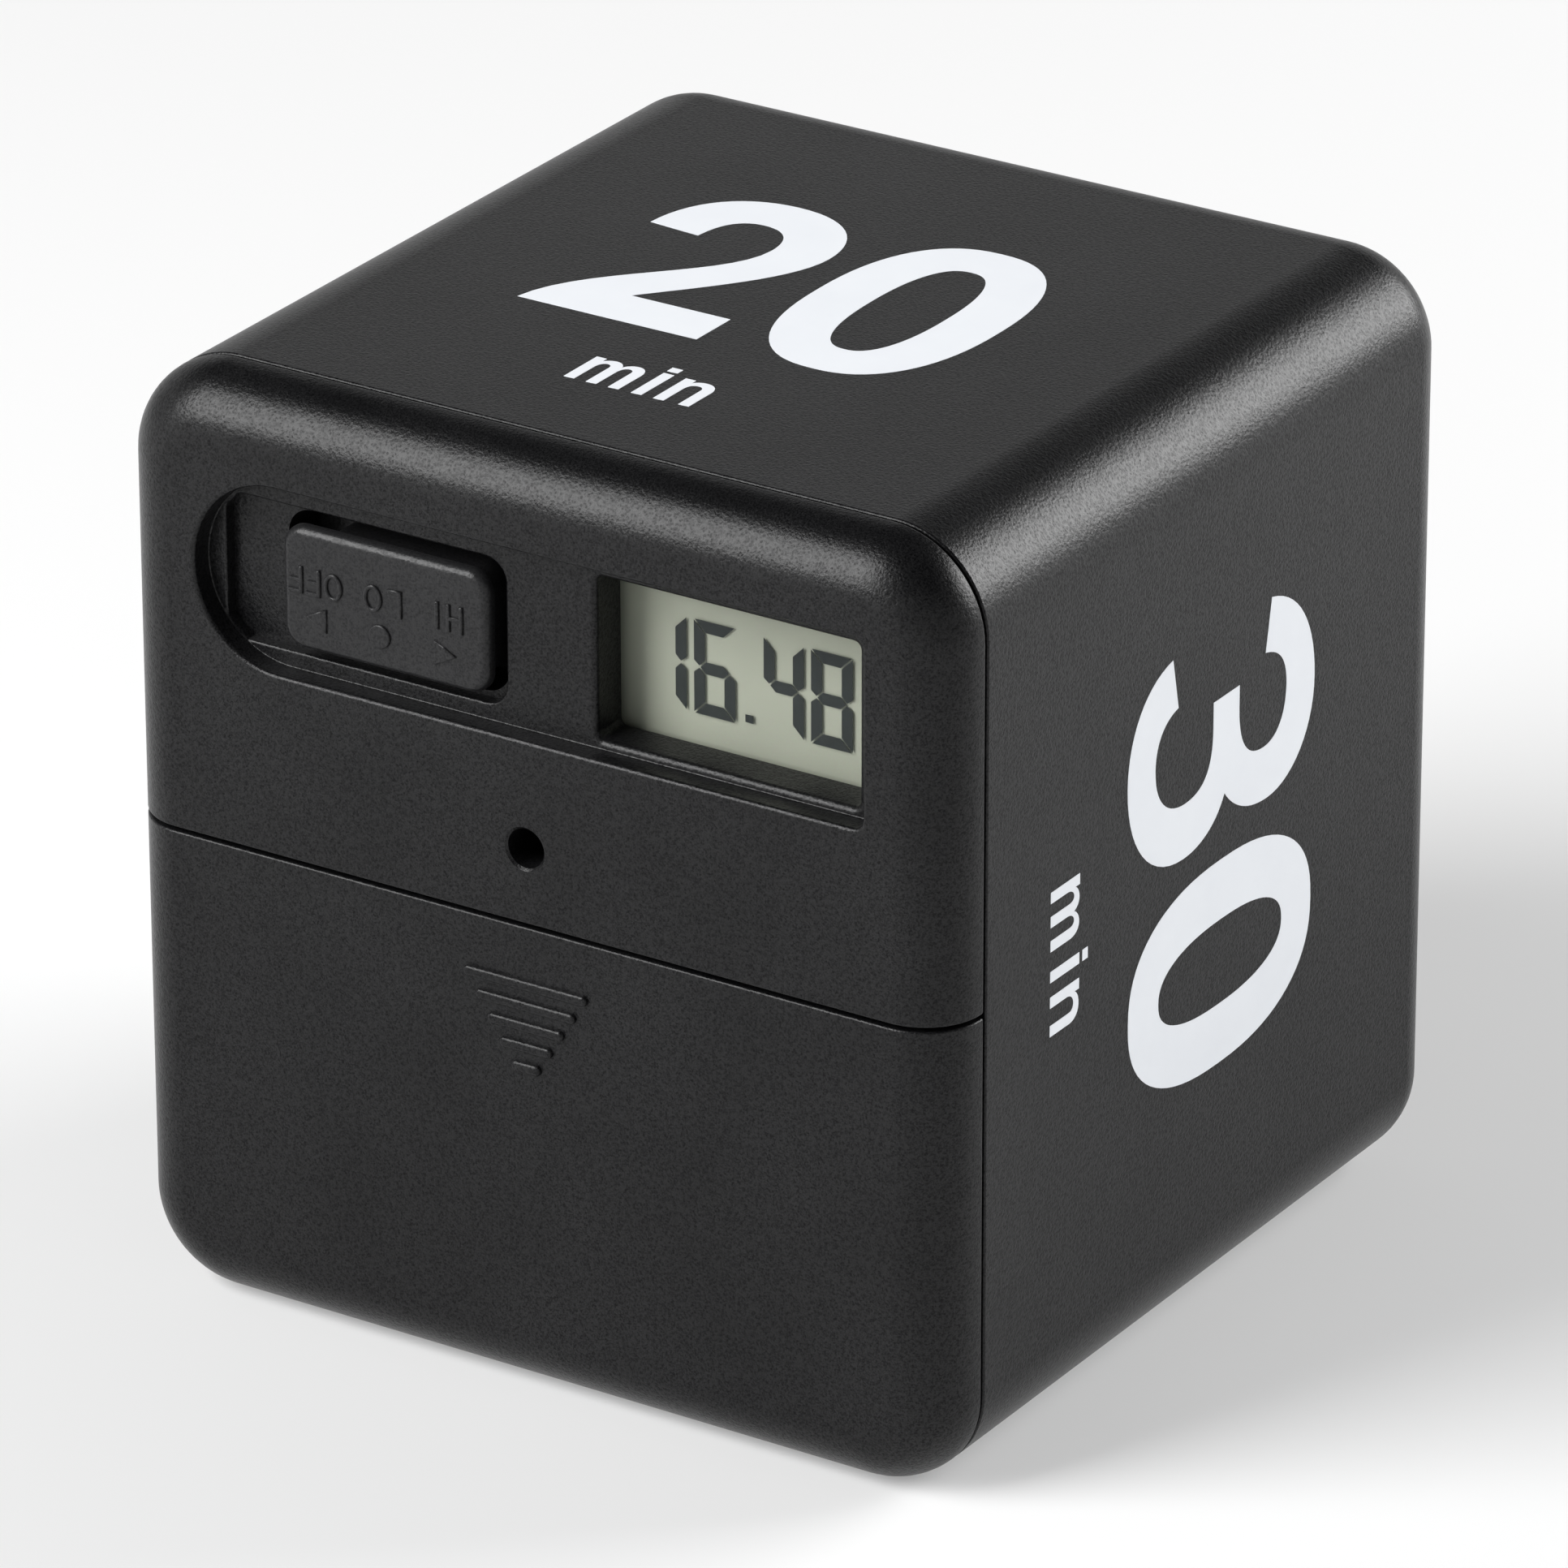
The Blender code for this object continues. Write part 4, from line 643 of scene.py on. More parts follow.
def flat_shape(name, outlines, thickness, soft_edge=0.0):
    """Sheet with the given closed outlines, of points in millimetres, lying on the XY plane."""
    curve = bpy.data.curves.new(name, "CURVE")
    curve.dimensions = "2D"
    curve.fill_mode = "BOTH"
    curve.extrude = (thickness / 2 - soft_edge) * MM
    curve.bevel_depth = soft_edge * MM
    curve.bevel_resolution = 2
    curve.offset = -soft_edge * MM
    for outline in outlines:
        spline = curve.splines.new("POLY")
        spline.points.add(len(outline) - 1)
        for point, (u, v) in zip(spline.points, outline):
            point.co = (u * MM, v * MM, 0.0, 1.0)
        spline.use_cyclic_u = True
    return convert(name, curve)


def put_on_front(piece, depth):
    """Stands a flat shape up on a plane behind the front face, its points as x and height."""
    select_only(piece)
    piece.rotation_euler.x = math.pi / 2
    piece.location = place(0.0, depth, 0.0)
    bpy.ops.object.transform_apply()


def turned_over(outline, right, low):
    """Outline of a letter turned half round, so that its left edge is at right and its foot up."""
    return [(right - u, low + TALL - v) for u, v in outline]


def ellipse(centre, half_width, half_height, steps=40, power=1.0):
    """Closed ring of points. A power under 1 squares the ellipse up."""
    ring = []
    for index in range(steps):
        angle = 2 * math.pi * index / steps
        across = math.copysign(abs(math.cos(angle)) ** power, math.cos(angle))
        along = math.copysign(abs(math.sin(angle)) ** power, math.sin(angle))
        ring.append((centre[0] + half_width * across, centre[1] + half_height * along))
    return ring


def bar(x, y):
    return [(x[0], y[0]), (x[1], y[0]), (x[1], y[1]), (x[0], y[1])]


cap = rounded_block("switch_cap_moulding", CAP_X, (CAP_FACE, CAP_STEP), centred(CAP_HEIGHT),
                    CAP_CORNER, 12)
round_edges(cap, at_depth(CAP_FACE), CAP_EDGE, 6)
join(cap, rounded_block("root", (CAP_X[0] + CAP_ROOT_INSET[0], CAP_X[1] - CAP_ROOT_INSET[1]),
                        (CAP_STEP - FIT, CAP_ROOT_BACK), centred(CAP_ROOT_HEIGHT),
                        CAP_ROOT_CORNER, 8))
join(cap, rounded_block("flange", (CAP_X[0] - CAP_FLANGE, CAP_X[1] + CAP_FLANGE + CAP_TRAVEL),
                        FLANGE_DEPTH, centred(CAP_HEIGHT + 2 * CAP_FLANGE), CAP_CORNER, 6))
cut(cap, block("socket", SOCKET_X, (SOCKET_FRONT, CAP_HOLLOW_BACK), centred(SOCKET_HEIGHT)))
for span in ((CAP_X[0] + CAP_ROOT_INSET[0] + CAP_WALL, SOCKET_X[0] - CAP_WALL),
             (SOCKET_X[1] + CAP_WALL, CAP_X[1] - CAP_WALL)):
    cut(cap, block("hollow", span, (CAP_FACE + CAP_WALL, CAP_HOLLOW_BACK),
                   centred(CAP_HEIGHT - 2 * CAP_WALL)))
smooth(cap)
CAP_ABS = moulded_black_abs("black_abs_moulded_fine", "1b1b1c", "2b2b2c", 0.25, 0.011, 0.30)
dress(cap, CAP_ABS, "cap", "black_abs", "switch_cap")

letter_o = [ellipse((O_HALF, TALL / 2), O_HALF, TALL / 2),
            ellipse((O_HALF, TALL / 2), O_HALF - STROKE, TALL / 2 - STROKE)]
letter_f = [[(0.0, 0.0), (STROKE, 0.0), (STROKE, BAR_FOOT), (0.9, BAR_FOOT),
             (0.9, BAR_FOOT + STROKE), (STROKE, BAR_FOOT + STROKE), (STROKE, TALL - STROKE),
             (1.05, TALL - STROKE), (1.05, TALL), (0.0, TALL)]]
letter_l = [[(0.0, 0.0), (1.0, 0.0), (1.0, STROKE), (STROKE, STROKE), (STROKE, TALL), (0.0, TALL)]]
letter_i = [bar((0.0, STROKE), (0.0, TALL))]
h_inner = H_WIDTH - STROKE
letter_h = [[(0.0, 0.0), (STROKE, 0.0), (STROKE, BAR_FOOT), (h_inner, BAR_FOOT), (h_inner, 0.0),
             (H_WIDTH, 0.0), (H_WIDTH, TALL), (h_inner, TALL), (h_inner, BAR_FOOT + STROKE),
             (STROKE, BAR_FOOT + STROKE), (STROKE, TALL), (0.0, TALL)]]
words = ((letter_o, -13.45), (letter_f, -15.05), (letter_f, -16.35), (letter_l, -9.1),
         (letter_o, -10.55), (letter_h, -4.65), (letter_i, -6.4))
outlines = [turned_over(outline, right, WORD_FOOT) for letter, right in words
            for outline in letter]
marks = [[(-14.65, 47.72), (-14.65, 49.3), (-16.15, 48.6)],
         ellipse((-10.75, 48.47), MARK_RADIUS, MARK_RADIUS, 32),
         [(-5.15, 48.4), (-6.75, 49.23), (-6.75, 47.6)]]
legends = flat_shape("switch_cap_legends", outlines + marks, 2 * MARK_RISE, MARK_SOFT)
put_on_front(legends, CAP_FACE)
dress(legends, CAP_ABS, "cap", "black_abs")

# Lever and body of the slide switch
# A small board switch bought in: a folded steel body, nickel plated, with a black lever that
# stands in the cap's socket and slides with it.


def plated_steel(name, colour, roughness):
    """Nickel plate over pressed steel: a warm grey metal with fine drawing lines and dull spots."""
    material, tree, shader, spot = new_material(name, roughness, metallic=1.0)
    lines = add_node(tree, "ShaderNodeMapping", {"Vector": spot, "Scale": (1.0, 12.0, 12.0)})
    drawn = noise(tree, lines.outputs["Vector"], 2.0, 4.0)
    feed(tree, shader, {
        "Base Color": mix(tree, noise(tree, spot, 3.0), colour, "a9a59c"),
        "Roughness": spread(tree, drawn, (0.0, 1.0), (roughness - 0.05, roughness + 0.1))})
    raise_grain(tree, shader, drawn, 0.004, 0.6)
    return material


def finish_node(material, *nodes):
    """Gives CAD nodes that are shown as they are their material."""
    for node in nodes:
        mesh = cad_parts[node].data
        mesh.materials.clear()
        mesh.materials.append(material)


PLAIN_ABS = moulded_black_abs("black_abs_moulded_plain", "0f0f10", "1e1e1f", 0.5, 0.008, 0.40)
NICKEL = plated_steel("nickel_plated_pressed_steel", "c9c5bb", 0.28)
finish_node(PLAIN_ABS, "slide_switch_lever")
finish_node(NICKEL, "slide_switch_body")

# Display
# A reflective liquid crystal display: two sheets of glass with the segments between them, a
# pearly film behind, a black holder round them, and two striped rubber strips that carry the
# signals to the board. The glass is pressed against the back of the window.

GLASS_X = (2.74, 24.39)
GLASS_HEIGHTS = (42.96, 57.52)
GLASS_DEPTH = (4.3, 6.0)
GLASS_EDGE = 0.12
SEGMENT_DEPTH = 4.86
FILM_DEPTH = (5.0, 5.08)
SEGMENT_WIDTH = 0.77
SEGMENT_GAP = 0.075
SEGMENT_THICK = 0.02
FILM_INSET = 0.15
FILM_CORNER = 0.3
DIGIT_TOP = 52.76
DIGIT_MIDDLE = 49.7
DIGIT_BOTTOM = 46.62
DIGITS = (((5.63, 8.56), "bc"), ((9.11, 12.04), "acdefg"), ((14.06, 16.89), "bcfg"),
          ((17.4, 20.33), "abcdefg"))
DOT_X = (12.75, 13.31)
DOT_HEIGHTS = (46.87, 47.37)


def polished_glass(name):
    """Thin soda glass under a matt polariser: nearly clear, with a weak grey-green tint."""
    material, tree, shader, spot = new_material(name, 0.24, specular=0.4)
    feed(tree, shader, {"Base Color": mix(tree, noise(tree, spot, 5.0, 2.0), "7d857a", "878f84")})
    shader.inputs["Alpha"].default_value = 0.1
    return material


def pearly_film(name):
    """Vacuum-coated film with a fine glitter: a grey-green that is a little uneven."""
    material, tree, shader, spot = new_material(name, 0.5, specular=0.3)
    glitter = noise(tree, spot, 0.12, 2.0, "Color")
    tone = mix(tree, noise(tree, spot, 6.0, 2.0), "999d8e", "a4a798")
    feed(tree, shader, {"Base Color": mix(tree, 0.12, tone, glitter, "SOFT_LIGHT")})
    return material


def mottled(name, dark, pale, size, roughness, specular=0.5, detail=3.0, rise=0.006):
    """Cast, fired or dyed material whose tone drifts over this many millimetres."""
    material, tree, shader, spot = new_material(name, roughness, specular)
    drift = noise(tree, spot, size, detail)
    feed(tree, shader, {"Base Color": mix(tree, drift, dark, pale)})
    if rise > 0.0:
        raise_grain(tree, shader, drift, rise)
    return material


def bands(tree, spot, width, direction):
    """Wave of straight bands across a direction, this many millimetres wide."""
    return add_node(tree, "ShaderNodeTexWave", {"Vector": spot, "Scale": per_mm(width)},
                    wave_type="BANDS", bands_direction=direction)


def striped_rubber(name):
    """Elastomer strip: pale pink silicone with fine dark carbon layers across its length."""
    material, tree, shader, spot = new_material(name, 0.7, specular=0.25)
    stripes = bands(tree, spot, 6.0, "X").outputs["Fac"]
    feed(tree, shader, {"Base Color": mix(tree, stripes, "2c2a2b", "d8a79f")})
    return material


def seven_segment_outlines(x, shown):
    """Mitred outlines of the shown segments, lettered a to g as on such displays."""
    left, right = x
    w = SEGMENT_WIDTH
    h = w / 2
    g = SEGMENT_GAP
    top, mid, low = DIGIT_TOP, DIGIT_MIDDLE, DIGIT_BOTTOM
    outlines = {
        "a": [(left + g, top), (right - g, top), (right - w - g, top - w), (left + w + g, top - w)],
        "d": [(left + g, low), (left + w + g, low + w), (right - w - g, low + w), (right - g, low)],
        "g": [(left + h + g, mid), (left + w + g, mid + h), (right - w - g, mid + h),
              (right - h - g, mid), (right - w - g, mid - h), (left + w + g, mid - h)],
        "f": [(left, top - g), (left + w, top - w - g), (left + w, mid + h + g),
              (left + h, mid + g), (left, mid + h)],
        "e": [(left, low + g), (left, mid - h), (left + h, mid - g), (left + w, mid - h - g),
              (left + w, low + w + g)],
    }
    for letter, opposite in ("bf", "ce"):
        outlines[letter] = [(left + right - u, v) for u, v in outlines[opposite]]
    return [outlines[letter] for letter in shown]


glass = block("display_glass_plate", GLASS_X, GLASS_DEPTH, GLASS_HEIGHTS)
round_edges(glass, lambda a, b: True, GLASS_EDGE, 2)
smooth(glass)
dress(glass, polished_glass("display_glass_polished"), "housing", "display_glass", "lcd_glass")

film = rounded_block("display_film", widened(GLASS_X, -FILM_INSET), FILM_DEPTH,
                     widened(GLASS_HEIGHTS, -FILM_INSET), FILM_CORNER, 3)
smooth(film)
FILM = pearly_film("display_film_coated")
dress(film, FILM, "housing", "display_reflector")

outlines = [outline for x, shown in DIGITS for outline in seven_segment_outlines(x, shown)]
outlines.append(bar(DOT_X, DOT_HEIGHTS))
segments = flat_shape("display_segments", outlines, SEGMENT_THICK)
put_on_front(segments, SEGMENT_DEPTH)
SEGMENT_DARK = mottled("display_segment_driven", "14171c", "1c2026", 0.8, 0.6, specular=0.1,
                       detail=2.0, rise=0.0)
dress(segments, SEGMENT_DARK, "housing", "display_reflector")

finish_node(FILM, "lcd_reflector")
finish_node(PLAIN_ABS, "lcd_holder")
finish_node(striped_rubber("zebra_strip_silicone"), "zebra_strip_lower", "zebra_strip_upper")

# Circuit board and the parts on it
# A glass-fibre board with green solder mask, hung on the panel's bosses. It carries a chip under
# a drop of epoxy, a watch crystal, two ball tilt switches, four chip parts and the buzzer.


def solder_mask(name):
    """Green mask over glass fibre: glossy, with the weave and the copper tracks showing faintly."""
    material, tree, shader, spot = new_material(name, 0.3)
    patches = maths(tree, "GREATER_THAN", noise(tree, spot, 7.0, 0.0), 0.5)
    upright = bands(tree, spot, 3.6, "X").outputs["Color"]
    level = bands(tree, spot, 4.3, "Z").outputs["Color"]
    copper = spread(tree, mix(tree, patches, upright, level), (0.55, 0.75))
    feed(tree, shader, {"Base Color": mix(tree, copper, "1a5228", "236a36")})
    raise_grain(tree, shader, noise(tree, spot, 0.5, 2.0), 0.01)
    return material


finish_node(solder_mask("board_solder_mask_green"), "circuit_board")
finish_node(mottled("epoxy_drop_cured", "101011", "1a1a1b", 1.5, 0.18), "chip_blob")
finish_node(mottled("chip_ceramic_fired", "5b5148", "6d6257", 0.3, 0.5),
            "chip_part_1", "chip_part_2", "chip_part_3", "chip_part_4")
finish_node(NICKEL, "quartz_crystal", "tilt_switch_level", "tilt_switch_upright")
finish_node(PLAIN_ABS, "buzzer")

# Screws
# Pan head screws for plastic, cold formed with a cross recess, thread rolled and nickel plated:
# three hold the board to the panel's bosses, and four go into the posts of the shell.

HEAD_RADIUS = 1.8
HEAD_THICK = 1.0
HEAD_ROUND = 0.5
SHANK_RADIUS = 0.9
SHANK_LENGTH = 6.0
THREAD_PITCH = 0.8
THREAD_DEPTH = 0.22
THREAD_START = 0.6
THREAD_END = 1.0
CREST_HALF = 0.25
ROOT_SHARE = 0.9
TIP_SHARE = 0.6
CROSS_LONG = 1.05
CROSS_WIDE = 0.27
CROSS_DEPTH = 0.55
BOARD_SCREW_DEPTH = 12.4
FRAME_SCREW_DEPTH = 4.675

pattern = rod("screw_pattern", 0.0, 0.0, HEAD_RADIUS, (0.0, HEAD_THICK), 48)
round_edges(pattern, at_depth(0.0), HEAD_ROUND, 5)
core = SHANK_RADIUS - THREAD_DEPTH
root = core * ROOT_SHARE
join(pattern, rod("core", 0.0, 0.0, core, (HEAD_THICK / 2, HEAD_THICK + SHANK_LENGTH),
                  end_radius=core * TIP_SHARE))
for index in range(int((SHANK_LENGTH - THREAD_END) / THREAD_PITCH)):
    crest = HEAD_THICK + THREAD_START + index * THREAD_PITCH
    join(pattern, rod("flank", 0.0, 0.0, root, (crest - CREST_HALF, crest),
                      end_radius=SHANK_RADIUS))
    join(pattern, rod("flank", 0.0, 0.0, SHANK_RADIUS, (crest, crest + CREST_HALF),
                      end_radius=root))
for half_wide, half_high in ((CROSS_LONG, CROSS_WIDE), (CROSS_WIDE, CROSS_LONG)):
    cut(pattern, block("cross", around(0.0, half_wide), (-FIT, CROSS_DEPTH),
                       around(0.0, half_high)))
smooth(pattern)


def put_screw(name, x, height, depth, turned):
    """Copies the pattern screw to its place, its head at this depth, turned to face the back."""
    piece = add_object(name + "_threaded", pattern.data.copy())
    facing = Matrix.Rotation(math.pi, 4, "Z") if turned else Matrix.Identity(4)
    piece.data.transform(Matrix.Translation(place(x, depth, height)) @ facing
                         @ Matrix.Translation(-place(0.0, 0.0, 0.0)))
    dress(piece, NICKEL, "housing", "nickel_steel", name)


for number, (x, height) in enumerate(BOARD_BOSSES, 1):
    put_screw(f"board_screw_{number}", x, height, BOARD_SCREW_DEPTH, True)
for number, x in enumerate(POST_PLACES, 1):
    put_screw(f"frame_screw_{number}", x, POST_HEIGHT, FRAME_SCREW_DEPTH, False)
bpy.data.objects.remove(pattern, do_unlink=True)

# Battery tray and contacts
# An inner frame in plain black ABS with troughs for two AAA cells and the rails of the door. The
# plates and the conical springs, of nickel-plated spring steel, join the cells in series.

CELL_DEPTH = 10.05
CELL_LOW = 9.25
CELL_HIGH = 20.85
SPRING_START = 25.05
SPRING_LENGTH = 4.7
SPRING_RADIUS = 2.9
SPRING_END_RADIUS = 2.175
SPRING_WIRE = 0.35
SPRING_CURLS = 3
SHARP_ANGLE = 40.0


def broken_edges(node, width, material, slot):
    """Finished copy of a CAD node: its seams merged, and a small bevel along its sharp edges."""
    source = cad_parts[node]
    piece = add_object(node + "_finished", source.data.copy())
    piece.data.transform(source.matrix_world)
    select_only(piece)
    bpy.ops.mesh.customdata_custom_splitnormals_clear()
    bpy.ops.object.mode_set(mode="EDIT")
    bpy.ops.mesh.select_all(action="SELECT")
    bpy.ops.mesh.remove_doubles(threshold=0.001 * MM)
    bpy.ops.object.mode_set(mode="OBJECT")
    if width > 0.0:
        apply_modifier(piece, "BEVEL", width=width * MM, segments=2, limit_method="ANGLE",
                       angle_limit=math.radians(SHARP_ANGLE))
    smooth(piece, SHARP_ANGLE)
    dress(piece, material, "housing", slot, node)


def coil(name, side, height):
    """Conical spring of round wire between a contact plate and the flat end of a cell."""
    curve = bpy.data.curves.new(name, "CURVE")
    curve.dimensions = "3D"
    curve.bevel_depth = SPRING_WIRE * MM
    curve.bevel_resolution = 3
    curve.use_fill_caps = True
    spline = curve.splines.new("POLY")
    steps = SPRING_CURLS * 32
    spline.points.add(steps)
    for index, point in enumerate(spline.points):
        share = index / steps
        angle = 2 * math.pi * SPRING_CURLS * share
        radius = SPRING_RADIUS + (SPRING_END_RADIUS - SPRING_RADIUS) * share
        spot = place(side * (SPRING_START - SPRING_LENGTH * share),
                     CELL_DEPTH + radius * math.cos(angle), height + radius * math.sin(angle))
        point.co = (*spot, 1.0)
    piece = convert(name + "_wound", curve)
    smooth(piece, 50.0)
    dress(piece, NICKEL, "housing", "nickel_steel", name)


broken_edges("battery_tray", 0.14, PLAIN_ABS, "black_inner_abs")
for node in ("plus_plate_upper", "plus_plate_lower", "minus_plate_upper", "minus_plate_lower"):
    broken_edges(node, 0.06, NICKEL, "nickel_steel")
coil("spring_upper", -1, CELL_HIGH)
coil("spring_lower", 1, CELL_LOW)

# Cells
# Two AAA alkaline cells, the upper with its plus end to the right and the lower to the left: a
# drawn steel can in a printed foil sleeve, curled over at both ends, and a pressed nub.

CELL_PLUS = 24.45
CELL_MINUS = -20.05
CAN_RADIUS = 5.08
SLEEVE_RADIUS = 5.25
SHOULDER_ROUND = 0.63
CURL_ROUND = 0.4
NUB_RADIUS = 1.9
NUB_HEIGHT = 1.2
NUB_ROUND = 0.3
DISH_RADIUS = 3.6
DISH_DEPTH = 0.2
SLEEVE_ROUND = 0.35
BARE_CURL = 0.3
BARE_SHOULDER = 0.25
BAND_WIDTH = 11.0


def lying_rod(name, x, height, radius):
    """Round bar across the timer, on the line of a cell."""
    bpy.ops.mesh.primitive_cylinder_add(vertices=72, radius=radius * MM, depth=(x[1] - x[0]) * MM,
                                        location=place((x[0] + x[1]) / 2, CELL_DEPTH, height),
                                        rotation=(0.0, math.pi / 2, 0.0))
    return settle(bpy.context.object, name)


def at_side(x):
    return on_plane(0, x * MM)


def printed_foil(name, side):
    """Foil sleeve under clear lacquer: dark blue, with a copper band round the plus end."""
    material, tree, shader, spot = new_material(name, 0.28, metallic=0.75)
    axes = add_node(tree, "ShaderNodeSeparateXYZ", {"Vector": spot})
    along = maths(tree, "MULTIPLY", axes.outputs["X"], side)
    band = maths(tree, "GREATER_THAN", along, (CELL_PLUS - BAND_WIDTH) * MM)
    drift = noise(tree, spot, 1.5)
    blue = mix(tree, drift, "15305a", "1b3c6e")
    feed(tree, shader, {"Base Color": mix(tree, band, blue, "c08552")})
    raise_grain(tree, shader, drift, 0.01, 0.4)
    return material


shoulder = CELL_PLUS - NUB_HEIGHT
sleeve_ends = (CELL_MINUS + BARE_CURL, shoulder - BARE_SHOULDER)
for name, side, height in (("battery_upper", 1, CELL_HIGH), ("battery_lower", -1, CELL_LOW)):
    can = lying_rod(name + "_can", mirrored(side, CELL_MINUS, shoulder), height, CAN_RADIUS)
    round_edges(can, at_side(side * shoulder), SHOULDER_ROUND, 5)
    round_edges(can, at_side(side * CELL_MINUS), CURL_ROUND, 4)
    join(can, lying_rod("nub", mirrored(side, shoulder - FIT, CELL_PLUS), height, NUB_RADIUS))
    round_edges(can, at_side(side * CELL_PLUS), NUB_ROUND, 4)
    cut(can, lying_rod("dish", mirrored(side, CELL_MINUS - FIT, CELL_MINUS + DISH_DEPTH), height,
                       DISH_RADIUS))
    smooth(can)
    dress(can, NICKEL, "housing", "nickel_steel")
    sleeve = lying_rod(name + "_sleeve", mirrored(side, *sleeve_ends), height, SLEEVE_RADIUS)
    round_edges(sleeve, either(at_side(side * sleeve_ends[0]), at_side(side * sleeve_ends[1])),
                SLEEVE_ROUND, 4)
    cut(sleeve, lying_rod("bore", mirrored(side, CELL_MINUS, CELL_PLUS), height, CAN_RADIUS - FIT))
    smooth(sleeve)
    dress(sleeve, printed_foil(name + "_foil_sleeve", side), "housing", "cell_sleeve", name)

# Battery leads
# Two stranded wires in extruded vinyl, red and black, from the right-hand contact plates up to
# their soldered ends on the board.

for colour, dark, pale in (("red", "a51d1a", "b52420"), ("black", "1a1a1b", "222223")):
    broken_edges("lead_" + colour, 0.0,
                 mottled("vinyl_insulation_" + colour, dark, pale, 1.0, 0.45), colour + "_vinyl")

# Printed numbers
# White pad-printed ink on four faces, a few hundredths of a millimetre thick. Each number reads
# the right way up when its face is turned up, with its foot towards the front.

CURVE_STEPS = 14


def curve_to(points, *runs):
    """Adds cubic curves to a list of points: each run is two pulls and an end."""
    for first, second, end in runs:
        start = points[-1]
        for index in range(1, CURVE_STEPS + 1):
            t = index / CURVE_STEPS
            s = 1.0 - t
            weights = (s * s * s, 3 * s * s * t, 3 * s * t * t, t * t * t)
            points.append(tuple(sum(w * p[axis] for w, p in zip(weights, (start, first, second, end)))
                                for axis in (0, 1)))
    return points


def figure_0(width, height):
    side = width * 0.2932
    foot = height * 0.163
    middle = (width / 2, height / 2)
    return [ellipse(middle, width / 2, height / 2, 72, 0.84),
            ellipse(middle, width / 2 - side, height / 2 - foot, 72, 0.84)]


def figure_2():
    outline = curve_to([(0.15, 14.65)],
                       ((0.3, 19.1), (2.9, 21.6), (6.75, 21.6)),
                       ((10.5, 21.6), (12.9, 19.0), (12.9, 15.4)),
                       ((12.9, 11.4), (8.75, 7.3), (5.85, 3.8)))
    outline += [(13.1, 3.8), (13.1, 0.0), (0.0, 0.0)]
    curve_to(outline, ((0.9, 6.2), (9.15, 9.6), (9.15, 14.65)),
             ((9.15, 16.6), (8.2, 17.95), (6.5, 17.95)),
             ((4.9, 17.95), (4.0, 16.6), (3.9, 14.3)))
    return [outline]


def figure_3():
    outline = curve_to([(0.15, 16.95)],
                       ((0.9, 20.4), (3.8, 22.35), (7.4, 22.35)),
                       ((10.9, 22.35), (13.55, 19.9), (13.55, 16.7)),
                       ((13.55, 14.3), (12.6, 12.6), (11.25, 11.55)),
                       ((13.0, 10.6), (13.8, 8.7), (13.8, 6.7)),
                       ((13.8, 2.7), (10.7, 0.0), (6.65, 0.0)),
                       ((3.2, 0.0), (0.5, 2.0), (0.0, 5.2)))
    outline.append((3.4, 5.9))
    curve_to(outline, ((3.7, 4.2), (4.9, 3.25), (6.65, 3.25)),
             ((8.8, 3.25), (10.15, 4.7), (10.15, 6.85)),
             ((10.15, 9.3), (8.7, 10.1), (6.4, 10.1)))
    outline += [(4.65, 10.1), (4.65, 13.2), (6.2, 13.2)]
    curve_to(outline, ((8.6, 13.2), (9.95, 14.2), (9.95, 16.2)),
             ((9.95, 17.9), (8.6, 18.9), (6.65, 18.9)),
             ((4.9, 18.9), (4.0, 18.0), (3.65, 16.3)))
    return [outline]


def figure_1():
    outline = curve_to([(8.6, 0.0), (8.6, 21.7), (5.6, 21.7)],
                       ((4.9, 19.4), (3.2, 17.9), (0.9, 17.4)))
    return [outline + [(0.9, 14.2), (4.6, 14.2), (4.6, 0.0)]]


def figure_6():
    outline = curve_to([(12.9, 16.1)],
                       ((12.2, 19.7), (9.9, 21.8), (6.9, 21.8)),
                       ((2.6, 21.8), (0.0, 18.2), (0.0, 10.7)),
                       ((0.0, 3.6), (2.4, 0.0), (6.8, 0.0)),
                       ((10.7, 0.0), (13.3, 2.9), (13.3, 7.1)),
                       ((13.3, 11.2), (10.9, 13.9), (7.6, 13.9)),
                       ((6.0, 13.9), (4.7, 13.3), (3.8, 12.1)),
                       ((3.9, 16.2), (5.0, 18.4), (7.0, 18.4)),
                       ((8.3, 18.4), (9.0, 17.5), (9.2, 15.8)))
    return [outline, ellipse((6.75, 6.95), 2.75, 3.65, 48)]


def small_arches(count, width, height):
    """The letter n, or m with two arches."""
    stem = 0.75
    pitch = (width - stem) / count
    outline = [(0.0, 0.0), (0.0, height), (stem * 0.95, height), (stem * 0.95, height - 0.5)]
    for index in range(count):
        start = pitch * index + stem
        end = pitch * (index + 1) + stem
        curve_to(outline, ((start + 0.3, height + 0.12), (end - 0.1, height + 0.25),
                           (end, height - 1.05)))
        if index < count - 1:
            outline.append((end - 0.06, height - 0.6))
    outline.append((width, 0.0))
    for index in reversed(range(count)):
        right = pitch * (index + 1)
        outline += [(right, 0.0), (right, height - 1.15)]
        curve_to(outline, ((right - 0.02, height - 0.45), (right - pitch + stem + 0.1, height - 0.45),
                           (right - pitch + stem, height - 1.35)))
        outline.append((right - pitch + stem, 0.0))
    return [outline]


def small_i(height):
    return [bar((0.0, 0.75), (0.0, height)), bar((0.0, 0.75), (height + 0.35, height + 0.98))]


def word_min(height, foot, lefts, n_width):
    """The letters of "min" with their left edges and their foot."""
    letters = (small_arches(2, 3.95, height), small_i(height), small_arches(1, n_width, height))
    return [(letter, left, foot) for letter, left in zip(letters, lefts)]


